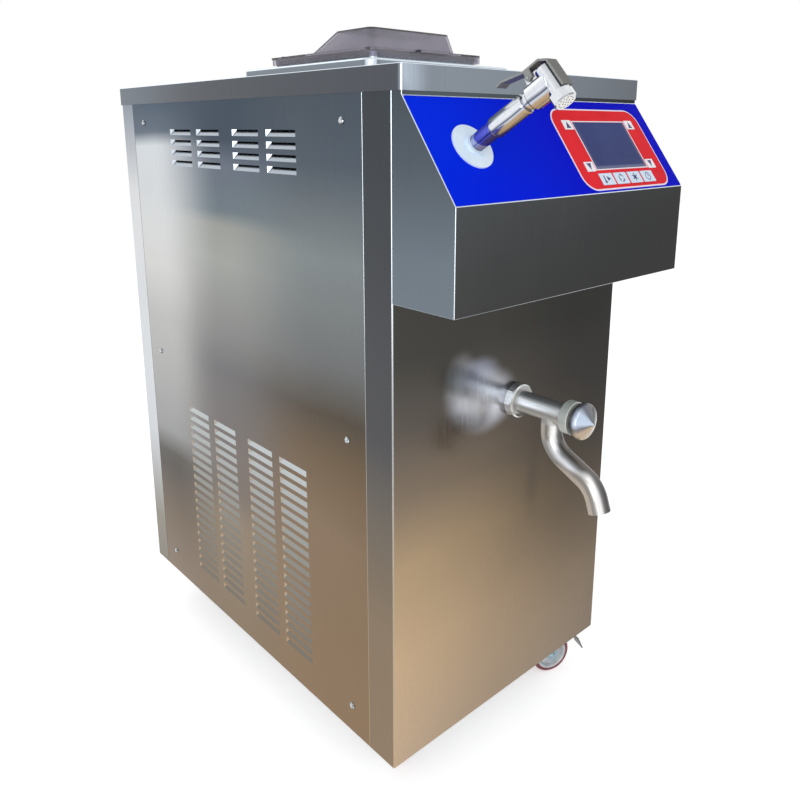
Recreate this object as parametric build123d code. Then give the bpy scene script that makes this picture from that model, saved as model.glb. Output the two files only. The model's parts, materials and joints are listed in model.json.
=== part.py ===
from build123d import *
import os
from math import cos, radians, sin

os.makedirs("parts", exist_ok=True)

# Cabinet. Lengths are in millimetres, the floor is z = 0 and the front faces -Y.
width = 500.0
depth = 793.0
cabinet_height = 994.0
sheet = 1.5
panel_sheet = 1.2
bend_radius = 2.5
panel_fold = 1.0
hood_fold = 1.2
seam = 0.3
caster_height = 105.0
caster_recess = 9.0
front_return = 56.0
rear_return = 48.0
panel_flange = 14.0
skirt_height = 31.0
skirt_side_gap = 0.5
front_overhang = 20.0
rear_overhang = 2.0
deck_height = 24.0
rail_width = 84.0
rail_sheet = 3.0
post_width = 26.0
post_wall = 2.0
post_front_inset = 98.0
post_rear_inset = 93.0
screw_head_radius = 5.2
screw_head_height = 2.4
screw_shank_radius = 2.0
screw_shank_length = 9.0
screw_slot_width = 1.2
screw_slot_depth = 0.8
screw_foot_height = 47.0
screw_middle_height = 489.0
screw_head_drop = 65.0
cover_corner = 3.0
cover_fold = 1.2

# Louvres pressed into the side panels.
louvre_fold = 76.0
louvre_slit = 64.0
louvre_rise = 10.0
louvre_depth = 5.5
louvre_lip = 0.8
louvre_pitch = 17.6
louvre_columns = (242.0, 340.0, 458.0, 555.0)
upper_slit_drop = 76.0
upper_rows = 4
lower_slit_height = 403.0
lower_rows = 20

# Control hood on the front.
hood_projection = 109.0
hood_bottom_drop = 291.0
hood_knee_drop = 161.0
hood_lip_drop = 36.0
hood_lip_depth = 18.0
hood_top_gap = 4.0
overlay_thickness = 0.5
overlay_margin = 1.5
overlay_corner = 2.0
wiring_side_margin = 60.0
wiring_height = 170.0

# Keypad, measured down the slope from its upper edge.
keypad_inset = 134.0
keypad_width = 212.0
keypad_top = 17.5
keypad_height = 130.5
keypad_corner = 22.0
keypad_thickness = 0.8
screen_width = 129.0
screen_top = 38.0
screen_height = 79.0
screen_recess = 0.3
module_margin = 7.0
module_inset = 3.0
module_depth = 18.0
arrow_key_size = (20.0, 15.5)
arrow_key_offset = 78.0
arrow_key_downs = (42.8, 112.3)
function_key_size = (31.0, 18.7)
function_key_pitch = 35.0
function_key_down = 133.6
key_clearance = 0.4
key_proud = 0.4
key_thickness = 1.9
key_corner = 1.0

# Tank, its collar and its lid. Heights above the top plate end in _up.
tank_setback = 331.0
tank_radius = 200.0
tank_wall = 2.0
tank_drop = 25.0
tank_below_tap = 26.0
tank_corner = 15.0
collar_side_margin = 39.0
collar_end_margin = 41.0
collar_corner = 18.0
collar_edge = 4.0
collar_up = 23.0
neck_up = 36.0
neck_width = 226.0
neck_depth = 266.0
neck_gap = 1.0
gasket_thickness = 3.0
gasket_width = 6.0
lid_overhang = 6.0
lid_wall = 3.0
lid_skirt = 13.0
lid_corner = 12.0
dome_side_margin = 25.0
dome_front = 35.0
dome_back = 80.0
dome_rise = 34.0
dome_draft = 9.0
dome_back_run = 63.0
dome_corner = 10.0
grip_width = 66.0
grip_depth = 13.0
grip_thickness = 4.0
hinge_behind = 11.0
hinge_pin_radius = 3.0
hinge_eye_radius = 6.5
hinge_lug_width = 16.0
hinge_bracket_width = 6.0
hinge_spread = 70.0
hinge_foot_thickness = 2.0
hinge_pin_end = 2.0
lug_overlap = 4.0
running_fit = 0.05

# Cooling jacket, heater, agitator and its motor.
jacket_channels = 6
jacket_foot_gap = 70.0
jacket_head_gap = 59.5
jacket_channel_height = 36.0
jacket_channel_depth = 9.0
jacket_skin = 1.2
jacket_slant = 4.0
heater_inner = 70.0
heater_outer = 175.0
heater_thickness = 8.0
terminal_radius = 4.0
terminal_length = 22.0
terminal_spread = 14.0
terminal_inset = 16.0
shaft_radius = 8.0
shaft_top_drop = 94.0
shaft_socket = 19.0
shaft_chamfer = 2.0
seal_radius = 20.0
seal_height = 14.0
motor_radius = 62.0
motor_height = 170.0
motor_neck_radius = 32.0
motor_neck_height = 44.0
motor_flange_radius = 80.0
motor_flange = 10.0
motor_chamfer = 6.0
motor_socket_gap = 1.0
terminal_box = (38.0, 56.0, 60.0)
terminal_box_overlap = 8.0
blade_reach = 150.0
blade_height = 46.0
blade_thickness = 3.0
blade_pitch = 38.0
blade_count = 3
paddle_hub_radius = 19.0
paddle_gap = 14.0

# Refrigeration set on the deck.
compressor_radius = 88.0
compressor_height = 190.0
compressor_inset = 140.0
compressor_rear_inset = 153.0
compressor_crown = 40.0
compressor_base = 14.0
compressor_plate = (150.0, 9.0, 12.0)
compressor_foot_radius = 11.0
compressor_foot_height = 15.0
compressor_foot_spread = 62.0
compressor_shell_foot = 22.0
relay_box = (44.0, 60.0, 54.0)
relay_box_overlap = 34.0
relay_box_height = 90.0
condenser_thickness = 48.0
condenser_length = 330.0
condenser_height = 300.0
condenser_setback = 400.0
condenser_inset = 45.0
condenser_fins = 22
fin_depth = 8.0
fin_gap_share = 0.6
fin_end_margin = 12.0
fan_radius = 122.0
fan_hub_radius = 24.0
fan_hub_length = 22.0
fan_blades = 5
fan_blade_chord = 56.0
fan_blade_sheet = 2.0
fan_blade_pitch = 30.0
fan_gap = 14.0
fan_motor_radius = 36.0
fan_motor_length = 50.0
fan_shaft_radius = 4.0
fan_shaft_length = 20.0
fan_motor_gap = 5.0
fan_motor_leg = 32.0
fan_motor_foot = (90.0, 4.0)

# Outlet pipe and tap, measured forward from the front panel.
tap_height = 516.0
pipe_radius = 21.0
collar_nut_radius = 27.0
collar_nut_length = 14.0
collar_nut_rim = 5.0
collar_nut_chamfer = 2.0
barrel_radius = 17.0
barrel_bore = 15.0
barrel_end = 110.0
ring_nut_radius = 24.5
ring_nut_length = 15.0
ring_nut_inner_chamfer = 1.5
ring_nut_outer_chamfer = 1.0
ring_nut_overhang = 1.0
spout_reach = 70.0
spout_radius = 16.0
spout_bore = 14.0
spout_drop = 28.0
spout_bend_radius = 42.0
spout_bend_angle = 64.0
spout_middle = 41.0
spout_tip_radius = 45.0
spout_tip_angle = 45.0
spout_tip_length = 18.0
plunger_front = 40.0
plunger_fit = 0.08
plunger_chamfer = 1.5
knob_radius = 26.0
knob_gap = 4.0
knob_edge = 7.0
knob_chamfer = 2.0
knob_tip = 145.0
knob_nose = 9.0
knob_round = 7.0
knob_socket = 6.0
seal_section = 1.6
seal_places = (44.0, 100.0)

# Hand spray in its holder on the slope.
spray_inset = 74.4
spray_down = 75.0
spray_droop = 5.0
holder_radius = 31.0
holder_edge = 2.5
holder_crown = 2.5
holder_skirt = 4.0
holder_neck_radius = 15.0
holder_neck = 10.0
holder_sleeve_radius = 13.5
holder_sleeve = 14.0
handle_foot_radius = 11.2
handle_radius = 12.4
handle_shoulder = 42.0
handle_length = 96.0
handle_neck_radius = 9.0
handle_swell = 1.0
handle_swell_length = 3.0
handle_end_length = 2.0
neck_collar_length = 3.0
neck_collar_inset = 3.0
valve_chamfer = 3.0
valve_start = 104.0
valve_radius = 15.0
head_place = 136.0
head_radius = 11.0
head_tilt = 10.5
head_back = 24.0
head_chamfer = 5.0
head_front = 16.0
nozzle_radius = 13.5
nozzle_length = 12.0
nozzle_chamfer = 1.5
nozzle_flats = 12
jet_radius = 0.9
jet_depth = 3.0
jet_counts = (6, 12)
jet_circles = (4.0, 8.5)
trigger_width = 17.0
trigger_plate = 2.4
lever_clearance = 0.4
lever_front = 15.0
lever_corner = 20.0
lever_back = 28.0
lever_shoulder = 135.0
lever_bend = 111.0
lever_knee = (36.6, 80.0)
lever_tip = (35.4, 72.0)
pivot_place = 115.0
pivot_up = 19.0
pivot_boss = 12.0
boss_below = 6.0
boss_above = 2.5
cheek_below = 3.0
cheek_above = 6.0
cheek_inset = 2.0
cheek_eye_radius = 4.0
pin_end = 0.7
pin_radius = 1.5

# Casters.
wheel_radius = 37.5
tyre_width = 24.0
tyre_thickness = 7.0
hub_width = 28.0
tyre_chamfer = 3.0
web_half = 3.0
rim_wall = 4.0
rim_step = 1.0
hub_radius = 10.0
axle_radius = 4.0
fork_gap = 30.6
fork_sheet = 2.5
fork_trail = 28.0
fork_eye_radius = 11.0
fork_back = 18.0
fork_front = 25.0
fork_skirt = 14.0
bridge_thickness = 3.0
crown_thickness = 4.0
crown_inset = 2.0
plate_length = 84.0
plate_width = 68.0
plate_thickness = 2.5
raceway_radius = 26.0
raceway_height = 9.0
plate_corner = 6.0
bolt_spread = (25.0, 33.0)
bolt_radius = 6.5
bolt_height = 5.0
bolt_hole_radius = 4.2
nut_height = 4.0
swivel_gap = 0.4
caster_inset_side = 82.0
caster_inset_end = 66.0
pedal_width = 26.0
pedal_sheet = 1.0
pedal_pivot_x = 19.0
pedal_pivot_z = 82.5
pedal_eye_radius = 3.5
pedal_pin_radius = 2.0
pedal_bend = 52.0
pedal_knee = (86.0, 56.0)
pedal_tip = (97.0, 32.0)
braked = ("front_left", "front_right")
caster_yaws = {"front_left": 90.0, "front_right": -21.5, "rear_left": 40.0, "rear_right": 100.0}

# Rear fittings.
inlet_radius = 13.2
inlet_length = 18.0
inlet_hex_radius = 17.0
inlet_hex_length = 4.0
inlet_bore = 9.0
rear_fitting_height = 80.0
rear_fitting_inset = 100.0
fitting_body = 12.0
fitting_flange = 4.0
gland_radius = 15.0
gland_length = 20.0
gland_bore = 6.0
gland_wall = 3.0
gland_body = 8.0
gland_hex_length = 6.0
gland_step = 2.0
gland_round = 4.0

# Levels and places worked out from the sizes above.
bottom_edge = caster_height - caster_recess
top_level = bottom_edge + cabinet_height
hood_bottom = cabinet_height - hood_bottom_drop
hood_knee = cabinet_height - hood_knee_drop
hood_lip_height = cabinet_height - hood_lip_drop
post_setbacks = (post_front_inset, depth - post_rear_inset)
screw_rows = (screw_foot_height, screw_middle_height, cabinet_height - screw_head_drop)
upper_slit_height = cabinet_height - upper_slit_drop
keypad_center = width / 2 - keypad_inset
spray_x = spray_inset - width / 2
condenser_x = condenser_inset - width / 2
compressor_x = width / 2 - compressor_inset
compressor_setback = depth - compressor_rear_inset
rear_fitting_x = width / 2 - rear_fitting_inset
collar_width = neck_width + 2 * collar_side_margin
collar_depth = neck_depth + 2 * collar_end_margin
lid_width = neck_width + 2 * lid_overhang
lid_depth = neck_depth + 2 * lid_overhang
dome_width = lid_width - 2 * dome_side_margin
dome_depth = lid_depth - dome_front - dome_back
shaft_top = cabinet_height - shaft_top_drop
slope_run = hood_projection - hood_lip_depth
slope_fall = hood_lip_height - hood_knee
slope_angle = Vector(0, 0, 1).get_angle(Vector(0, slope_run, slope_fall))
head_end = head_front + nozzle_length
head_lean = 90.0 + spray_droop - head_tilt - slope_angle
spray_out = hood_lip_depth + spray_down * sin(radians(slope_angle))
nozzle_out = head_place * cos(radians(slope_angle - spray_droop))
nozzle_out += (head_end - nozzle_chamfer) * cos(radians(head_lean)) + nozzle_radius * sin(radians(head_lean))
front_reach = spray_out + nozzle_out
rear_reach = depth + inlet_hex_length + inlet_length
front_y = (front_reach - rear_reach) / 2
rear_y = front_y + depth
tank_y = front_y + tank_setback
tap_z = bottom_edge + tap_height
tank_floor = tap_z - tank_below_tap
tank_rim = top_level - sheet - tank_drop
jacket_start = tank_floor + jacket_foot_gap
jacket_pitch = (tank_rim - jacket_head_gap - jacket_start) / jacket_channels
deck_z = bottom_edge + deck_height
hinge_y = tank_y + lid_depth / 2 + hinge_behind
lid_top = top_level + neck_up + gasket_thickness + lid_wall
hinge_z = lid_top

slope_plane = Plane(
    origin=(0, front_y - hood_lip_depth, bottom_edge + hood_lip_height),
    x_dir=(1, 0, 0),
    z_dir=(0, -cos(radians(slope_angle)), sin(radians(slope_angle))),
)
spray_base = slope_plane * Pos(spray_x, -spray_down, 0)
spray_frame = spray_base * Rot(spray_droop, 0, 0)


def block(x, y, z):
    """A box between the two ends given on each axis."""
    center = Pos((x[0] + x[1]) / 2, (y[0] + y[1]) / 2, (z[0] + z[1]) / 2)
    return center * Box(abs(x[1] - x[0]), abs(y[1] - y[0]), abs(z[1] - z[0]))


def along_y(radius, start, length):
    """A cylinder that runs from start towards +Y, on the Y axis."""
    return Pos(0, start, 0) * Rot(-90, 0, 0) * along_z(radius, 0, length)


def along_z(radius, start, length):
    """A cylinder that runs up from start, on the Z axis."""
    return Pos(0, 0, start) * Cylinder(radius, length, align=(Align.CENTER, Align.CENTER, Align.MIN))


def along_x(radius, start, length):
    """A cylinder that runs from start towards +X, on the X axis."""
    return Pos(start, 0, 0) * Rot(0, 90, 0) * along_z(radius, 0, length)


def slab(length, breadth, thickness, corner=0.0):
    """A plate that stands on z = 0, with rounded corners where a radius is given."""
    outline = RectangleRounded(length, breadth, corner) if corner else Rectangle(length, breadth)
    return extrude(outline, thickness)


def turned(profile):
    """The solid turned about Z from a list of radius and height pairs."""
    return revolve(Plane.XZ * make_face(Polyline(*profile, close=True)), Axis.Z)


def save(name, *solids):
    """Write one sub-part, as a group where it has several solids."""
    shape = solids[0] if len(solids) == 1 else Compound(children=list(solids))
    export_step(shape, f"parts/{name}.step")


def caster_places():
    """The swivel centre of each caster, by corner."""
    side = width / 2 - caster_inset_side
    front = front_y + caster_inset_end
    rear = rear_y - caster_inset_end
    return {
        "front_left": (-side, front),
        "front_right": (side, front),
        "rear_left": (-side, rear),
        "rear_right": (side, rear),
    }


def chassis():
    """The folded deck with the two channels below it that take the casters."""
    clear = sheet + seam
    x_end = width / 2 - clear
    y_front = front_y + clear
    y_rear = rear_y - clear
    deck = block((-x_end, x_end), (y_front, y_rear), (deck_z - sheet, deck_z))
    walls = block((-x_end, x_end), (y_front, y_rear), (bottom_edge, deck_z))
    walls -= block((sheet - x_end, x_end - sheet), (y_front + sheet, y_rear - sheet), (bottom_edge, deck_z))
    body = deck + walls
    rail_x = width / 2 - caster_inset_side
    rail_foot = bottom_edge + caster_recess
    for side in (-1, 1):
        middle = side * rail_x
        channel = block(
            (middle - rail_width / 2, middle + rail_width / 2),
            (y_front, y_rear),
            (rail_foot, deck_z - sheet),
        )
        hollow = block(
            (middle - rail_width / 2 + rail_sheet, middle + rail_width / 2 - rail_sheet),
            (y_front, y_rear),
            (rail_foot + rail_sheet, deck_z - sheet),
        )
        body += channel - hollow
    return body


def posts():
    """Four upright tubes behind the side panels, which take the panel screws."""
    solids = []
    foot = deck_z
    head = top_level - sheet
    inner = width / 2 - panel_sheet
    for side in (-1, 1):
        for setback in post_setbacks:
            y = front_y + setback
            x = side * (inner - post_width / 2)
            hollow = post_width - 2 * post_wall
            tube = slab(post_width, post_width, head - foot) - slab(hollow, hollow, head - foot)
            tube = Pos(x, y, foot) * tube
            for row in screw_rows:
                bore = Rot(0, side * 90, 0) * Cylinder(screw_shank_radius, post_width)
                tube -= Pos(side * inner, y, bottom_edge + row) * bore
            solids.append(tube)
    return solids


def shell(y_face, direction, side_return):
    """A front or rear panel with its rounded corners folded back along the sides."""
    head = top_level - sheet
    outline = Rectangle(width, side_return, align=(Align.CENTER, Align.MIN))
    outer = extrude(outline, head - bottom_edge)
    outer = fillet(outer.edges().filter_by(Axis.Z).sort_by(Axis.Y)[:2], bend_radius)
    outline = Rectangle(width - 2 * sheet, side_return, align=(Align.CENTER, Align.MIN))
    inside = Pos(0, sheet, 0) * extrude(outline, head - bottom_edge)
    inside = fillet(inside.edges().filter_by(Axis.Z).sort_by(Axis.Y)[:2], bend_radius - sheet)
    body = outer - inside
    turn = 0 if direction > 0 else 180
    return Pos(0, y_face, bottom_edge) * Rot(0, 0, turn) * body


def front_shell():
    body = shell(front_y, 1, front_return - seam)
    body -= Pos(0, front_y, tap_z) * along_y(pipe_radius + seam, -sheet, 3 * sheet)
    window = (width - 2 * wiring_side_margin, wiring_height)
    middle = bottom_edge + (hood_bottom + hood_lip_height) / 2
    opening = Pos(0, front_y, middle) * Box(window[0], 4 * sheet, window[1])
    return body - opening


def rear_shell():
    body = shell(rear_y, -1, rear_return - seam)
    for side, radius in ((-1, inlet_radius), (1, gland_radius - gland_wall)):
        place = Pos(side * rear_fitting_x, rear_y, bottom_edge + rear_fitting_height)
        body -= place * along_y(radius, -2 * sheet, 4 * sheet)
    return body


def louvre(extra):
    """One pressing, on the plane z = 0 with its depth along +Z and its slit along +Y."""
    depth_out = louvre_depth + extra
    fold = louvre_fold / 2 + extra
    slit = louvre_slit / 2 + extra
    top = louvre_rise / 2
    foot = top - louvre_rise - extra
    lip = top - louvre_lip - extra
    front = make_face(Polyline((-fold, 0), (fold, 0), (slit, depth_out), (-slit, depth_out), close=True))
    across = Pos(0, top, 0) * extrude(Plane.XZ * front, top - foot)
    wedge = make_face(Polyline((foot, 0), (top, 0), (top, depth_out), (lip, depth_out), close=True))
    along = Pos(-fold, 0, 0) * extrude(Plane.YZ * wedge, 2 * fold)
    return across & along


def louvre_centers():
    """The middle of each pressing, as its distance from the front and its height."""
    centers = []
    for column in louvre_columns:
        for top, rows in ((upper_slit_height, upper_rows), (lower_slit_height, lower_rows)):
            centers += [(column, top - louvre_rise / 2 - row * louvre_pitch) for row in range(rows)]
    return centers


def side_panel(side):
    """A side panel with folded edges and its louvres pressed inwards."""
    head = top_level - sheet
    y_front = front_y + front_return
    y_rear = rear_y - rear_return
    outer_x = side * width / 2
    inner_x = outer_x - side * panel_sheet
    flange_x = outer_x - side * panel_flange
    body = block((inner_x, outer_x), (y_front, y_rear), (bottom_edge, head))
    for edge, step in ((y_front, panel_sheet), (y_rear, -panel_sheet)):
        body += block((flange_x, outer_x), (edge, edge + step), (deck_z + seam, head))
    folds = body.edges().filter_by(Axis.Z).sort_by(lambda edge: -side * edge.center().X)[:2]
    body = fillet(folds, panel_fold)
    facing = Plane(origin=(outer_x, 0, 0), x_dir=(0, -side, 0), z_dir=(-side, 0, 0))
    metal = []
    air = []
    raised = louvre(panel_sheet)
    pocket = louvre(0.0)
    for back, up in louvre_centers():
        place = facing * Pos(-side * (front_y + back), bottom_edge + up, 0)
        metal.append(place * raised)
        air.append(place * pocket)
    body = body.fuse(*metal).cut(*air)
    for setback in post_setbacks:
        for row in screw_rows:
            body -= Pos(outer_x, front_y + setback, bottom_edge + row) * along_x(screw_shank_radius, -5, 10)
    return body


def screws():
    """The pan-head screws of both side panels, with a slot in each head."""
    solids = []
    for side in (-1, 1):
        for setback in post_setbacks:
            for row in screw_rows:
                head = turned([(0, 0), (screw_head_radius, 0), (screw_head_radius, screw_head_height * 0.4),
                               (screw_head_radius * 0.6, screw_head_height), (0, screw_head_height)])
                slot = Box(screw_slot_width, 2 * screw_head_radius, 2 * screw_slot_depth)
                head -= Pos(0, 0, screw_head_height) * slot
                shank = along_z(screw_shank_radius, -screw_shank_length, screw_shank_length + sheet / 3)
                screw = head + shank
                place = Pos(side * width / 2, front_y + setback, bottom_edge + row) * Rot(0, side * 90, 0)
                solids.append(place * screw)
    return solids


def top_cover():
    """The top plate with its skirt and the opening for the tank neck."""
    x_end = width / 2 + skirt_side_gap + sheet
    y_front = front_y - front_overhang
    y_rear = rear_y + rear_overhang
    body = block((-x_end, x_end), (y_front, y_rear), (top_level - skirt_height, top_level))
    body = fillet(body.edges().filter_by(Axis.Z), cover_corner)
    body = fillet(body.faces().sort_by(Axis.Z)[-1].edges(), cover_fold)
    under = (top_level - skirt_height, top_level - sheet)
    body -= block((sheet - x_end, x_end - sheet), (y_front + sheet, y_rear - sheet), under)
    opening = slab(neck_width + 2 * neck_gap, neck_depth + 2 * neck_gap, 4 * sheet, lid_corner)
    return body - Pos(0, tank_y, top_level - 2 * sheet) * opening


def key_places():
    """Each key's name, its centre on the slope and its size."""
    keys = {}
    for side, word in ((-1, "left"), (1, "right")):
        for down, way in zip(arrow_key_downs, ("up", "down")):
            keys[f"arrow_key_{way}_{word}"] = (keypad_center + side * arrow_key_offset, down, arrow_key_size)
    for index, word in enumerate(("heat", "cycle", "cool", "store")):
        x = keypad_center + (index - 1.5) * function_key_pitch
        keys[f"function_key_{word}"] = (x, function_key_down, function_key_size)
    return keys


def keypad_cut(layers_down):
    """The openings for the screen and the keys, through everything above the depth given."""
    reach = layers_down + 2 * overlay_thickness + 2 * keypad_thickness
    cut = slab(screen_width, screen_height, reach)
    cut = Pos(keypad_center, -screen_top - screen_height / 2, -layers_down) * cut
    for x, down, size in key_places().values():
        hole = slab(size[0] + 2 * key_clearance, size[1] + 2 * key_clearance, reach)
        cut += Pos(x, -down, -layers_down) * hole
    return slope_plane * cut


def spray_hole(radius, below, above):
    """A bore along the handle, from below the slope to above it."""
    return spray_frame * along_z(radius, -below, below + above)


def hood():
    """The control hood, folded from sheet and open towards the front panel."""
    top = bottom_edge + cabinet_height - sheet - hood_top_gap
    knee = bottom_edge + hood_knee
    lip = bottom_edge + hood_lip_height
    foot = bottom_edge + hood_bottom
    outline = [(front_y, foot), (front_y - hood_projection, foot), (front_y - hood_projection, knee),
               (front_y - hood_lip_depth, lip), (front_y - hood_lip_depth, top), (front_y, top)]
    face = make_face(Polyline(*outline, close=True))
    outer = Pos(-width / 2, 0, 0) * extrude(Plane.YZ * face, width)
    outer = fillet([edge for edge in outer.edges() if edge.center().Y < front_y - seam], hood_fold)
    inner_face = offset(face, -sheet, kind=Kind.INTERSECTION)
    inner = Pos(sheet - width / 2, 0, 0) * extrude(Plane.YZ * inner_face, width - 2 * sheet)
    inside = (sheet - width / 2, width / 2 - sheet)
    inner += block(inside, (front_y - 3 * sheet, front_y), (foot + sheet, top - sheet))
    return outer - inner - keypad_cut(4 * sheet) - spray_hole(holder_sleeve_radius, 10, 5)


def overlay():
    """The coloured film that covers the slope."""
    length = slope_fall / cos(radians(slope_angle))
    film = slab(width - 2 * overlay_margin, length - 2 * overlay_margin, overlay_thickness, overlay_corner)
    film = slope_plane * Pos(0, -length / 2, 0) * film
    return film - keypad_cut(1) - spray_hole(holder_sleeve_radius, 3, 5)


def keypad():
    """The membrane frame round the screen, stuck on the film."""
    frame = slab(keypad_width, keypad_height, keypad_thickness, keypad_corner)
    frame = slope_plane * Pos(keypad_center, -keypad_top - keypad_height / 2, overlay_thickness) * frame
    return frame - keypad_cut(1)


def key(x, down, size):
    """One sprung key that stands a little proud of the membrane."""
    top = overlay_thickness + keypad_thickness + key_proud
    cap = slab(size[0], size[1], key_thickness, key_corner)
    return slope_plane * Pos(x, -down, top - key_thickness) * cap


def display():
    """The display module behind the slope, with its glass in the screen opening."""
    surface = overlay_thickness + keypad_thickness - screen_recess
    glass_width = screen_width - 2 * key_clearance
    glass_height = screen_height - 2 * key_clearance
    glass = slab(glass_width, glass_height, surface + sheet)
    board = slab(screen_width + 2 * module_margin, screen_height - 2 * module_inset, module_depth)
    board = Pos(0, 0, -module_depth) * board
    module = glass + board
    return slope_plane * Pos(keypad_center, -screen_top - screen_height / 2, -sheet) * module


def vessel():
    """The round tank with the welded stub of its outlet pipe."""
    floor = tank_floor - tank_wall
    outside = tank_radius + tank_wall
    outer = turned([(0, floor), (outside, floor), (outside, tank_rim), (0, tank_rim)])
    outer = fillet(outer.edges().group_by(Axis.Z)[0], tank_corner)
    above = tank_rim + 1
    inside = turned([(0, tank_floor), (tank_radius, tank_floor), (tank_radius, above), (0, above)])
    inside = fillet(inside.edges().group_by(Axis.Z)[0], tank_corner - tank_wall)
    body = Pos(0, tank_y, 0) * (outer - inside)
    start = front_y + sheet
    pipe = Pos(0, 0, tap_z) * along_y(pipe_radius, start, tank_setback - sheet - tank_radius)
    bore = Pos(0, 0, tap_z) * along_y(barrel_bore, start - 1, tank_setback - tank_radius + 2)
    body += pipe
    return body - bore - Pos(0, tank_y, 0) * along_z(seal_radius, floor - 1, tank_wall + 2)


def collar():
    """The tank's top plate, its rectangular neck and the raised rim on the top cover."""
    disc = along_z(tank_radius + tank_wall, tank_rim, tank_wall)
    neck_top = top_level + neck_up
    neck = Pos(0, 0, tank_rim) * slab(neck_width, neck_depth, neck_top - tank_rim, lid_corner)
    rim = Pos(0, 0, top_level) * slab(collar_width, collar_depth, collar_up, collar_corner)
    rim = fillet(rim.faces().sort_by(Axis.Z)[-1].edges(), collar_edge)
    inside = (collar_width - 2 * tank_wall, collar_depth - 2 * tank_wall, collar_up - tank_wall)
    rim -= Pos(0, 0, top_level) * slab(*inside, collar_corner - tank_wall)
    body = disc + neck + rim
    clear = (neck_width - 2 * tank_wall, neck_depth - 2 * tank_wall, neck_top - tank_rim)
    return Pos(0, tank_y, 0) * (body - Pos(0, 0, tank_rim) * slab(*clear, lid_corner - tank_wall))


def gasket():
    """The flat seal on the neck, under the lid."""
    ring = slab(neck_width, neck_depth, gasket_thickness, lid_corner)
    clear = (neck_width - 2 * gasket_width, neck_depth - 2 * gasket_width, gasket_thickness)
    ring -= slab(*clear, lid_corner / 2)
    return Pos(0, tank_y, top_level + neck_up) * ring


def dome(inset, drop):
    """The raised part of the lid, upright in front and sloping away at the back."""
    front = -lid_depth / 2 + dome_front + inset
    back = -lid_depth / 2 + dome_front + dome_depth - inset
    half = dome_width / 2 - inset
    height = dome_rise - drop
    crest_front = front + dome_draft
    crest_back = back - dome_back_run
    corner = dome_corner - inset
    base = Pos(0, (front + back) / 2, 0) * RectangleRounded(2 * half, back - front, corner)
    crest = Pos(0, (crest_front + crest_back) / 2, height) * RectangleRounded(
        2 * (half - dome_draft), crest_back - crest_front, corner
    )
    return loft([base, crest], ruled=True)


def lid():
    """The clear lid with a skirt on three sides, a front grip and two hinge lugs."""
    plate_foot = lid_top - lid_wall
    skirt_foot = lid_top - lid_skirt
    outer = slab(lid_width, lid_depth, lid_skirt, lid_corner)
    under = (lid_width - 2 * lid_wall, lid_depth - 2 * lid_wall, lid_skirt - lid_wall)
    tray = outer - slab(*under, lid_corner - lid_wall)
    open_back = (lid_depth / 2 - 4 * lid_wall, lid_depth)
    tray -= block((-lid_width, lid_width), open_back, (-1, lid_skirt - lid_wall))
    grip = (-lid_depth / 2 - grip_depth, -lid_depth / 2 + lid_wall / 3)
    tray += block((-grip_width / 2, grip_width / 2), grip, (lid_skirt - grip_thickness, lid_skirt))
    body = Pos(0, tank_y, skirt_foot) * tray
    body += Pos(0, tank_y, lid_top) * dome(0.0, 0.0)
    body -= Pos(0, tank_y, plate_foot) * dome(lid_wall, 0.0)
    for side in (-1, 1):
        x = side * hinge_spread
        span = (x - hinge_lug_width / 2, x + hinge_lug_width / 2)
        lug = block(span, (tank_y + lid_depth / 2 - lug_overlap, hinge_y), (plate_foot, lid_top + 2))
        axis = Pos(0, hinge_y, hinge_z)
        eye = axis * along_x(hinge_eye_radius, span[0], hinge_lug_width)
        bore = axis * along_x(hinge_pin_radius + running_fit, span[0] - 1, hinge_lug_width + 2)
        body = body + lug + eye - bore
    return body


def hinge_brackets():
    """Two ears that stand on the raised rim and hold the hinge pin."""
    foot = top_level + collar_up
    solids = []
    for side in (-1, 1):
        start = hinge_spread + hinge_lug_width / 2 + seam
        low, high = sorted((side * start, side * (start + hinge_bracket_width)))
        deep = (hinge_y - hinge_eye_radius, hinge_y + hinge_eye_radius)
        ear = block((low, high), deep, (foot, hinge_z))
        ear += Pos(0, hinge_y, hinge_z) * along_x(hinge_eye_radius, low, hinge_bracket_width)
        wide = sorted((side * start, side * (start + 3 * hinge_bracket_width)))
        foot_plate = block(wide, deep, (foot, foot + hinge_foot_thickness))
        bore = Pos(0, hinge_y, hinge_z) * along_x(hinge_pin_radius, low - 1, hinge_bracket_width + 2)
        solids.append(ear + foot_plate - bore)
    return solids


def hinge_pin():
    """The rod through both ears and both lugs."""
    reach = hinge_spread + hinge_lug_width / 2 + hinge_bracket_width + hinge_pin_end
    return Pos(0, hinge_y, hinge_z) * along_x(hinge_pin_radius, -reach, 2 * reach)


def cooling_jacket():
    """The skin with pressed channels that carries the refrigerant round the tank."""
    inner = tank_radius + tank_wall
    start = jacket_start
    skirt = (jacket_pitch - jacket_channel_height) / 2
    crest = inner + jacket_channel_depth
    outside = [(inner, start)]
    inside = []
    for index in range(jacket_channels):
        foot = start + index * jacket_pitch + skirt
        head = foot + jacket_channel_height
        outside += [(inner + jacket_skin, foot - skirt), (inner + jacket_skin, foot),
                    (crest, foot + jacket_slant), (crest, head - jacket_slant), (inner + jacket_skin, head)]
        inside.append([(inner, foot), (crest - jacket_skin, foot + jacket_slant),
                       (crest - jacket_skin, head - jacket_slant), (inner, head)])
    end = start + jacket_channels * jacket_pitch
    outside += [(inner + jacket_skin, end), (inner, end)]
    body = turned(outside)
    for channel in inside:
        body -= turned(channel)
    return Pos(0, tank_y, 0) * body


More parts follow.
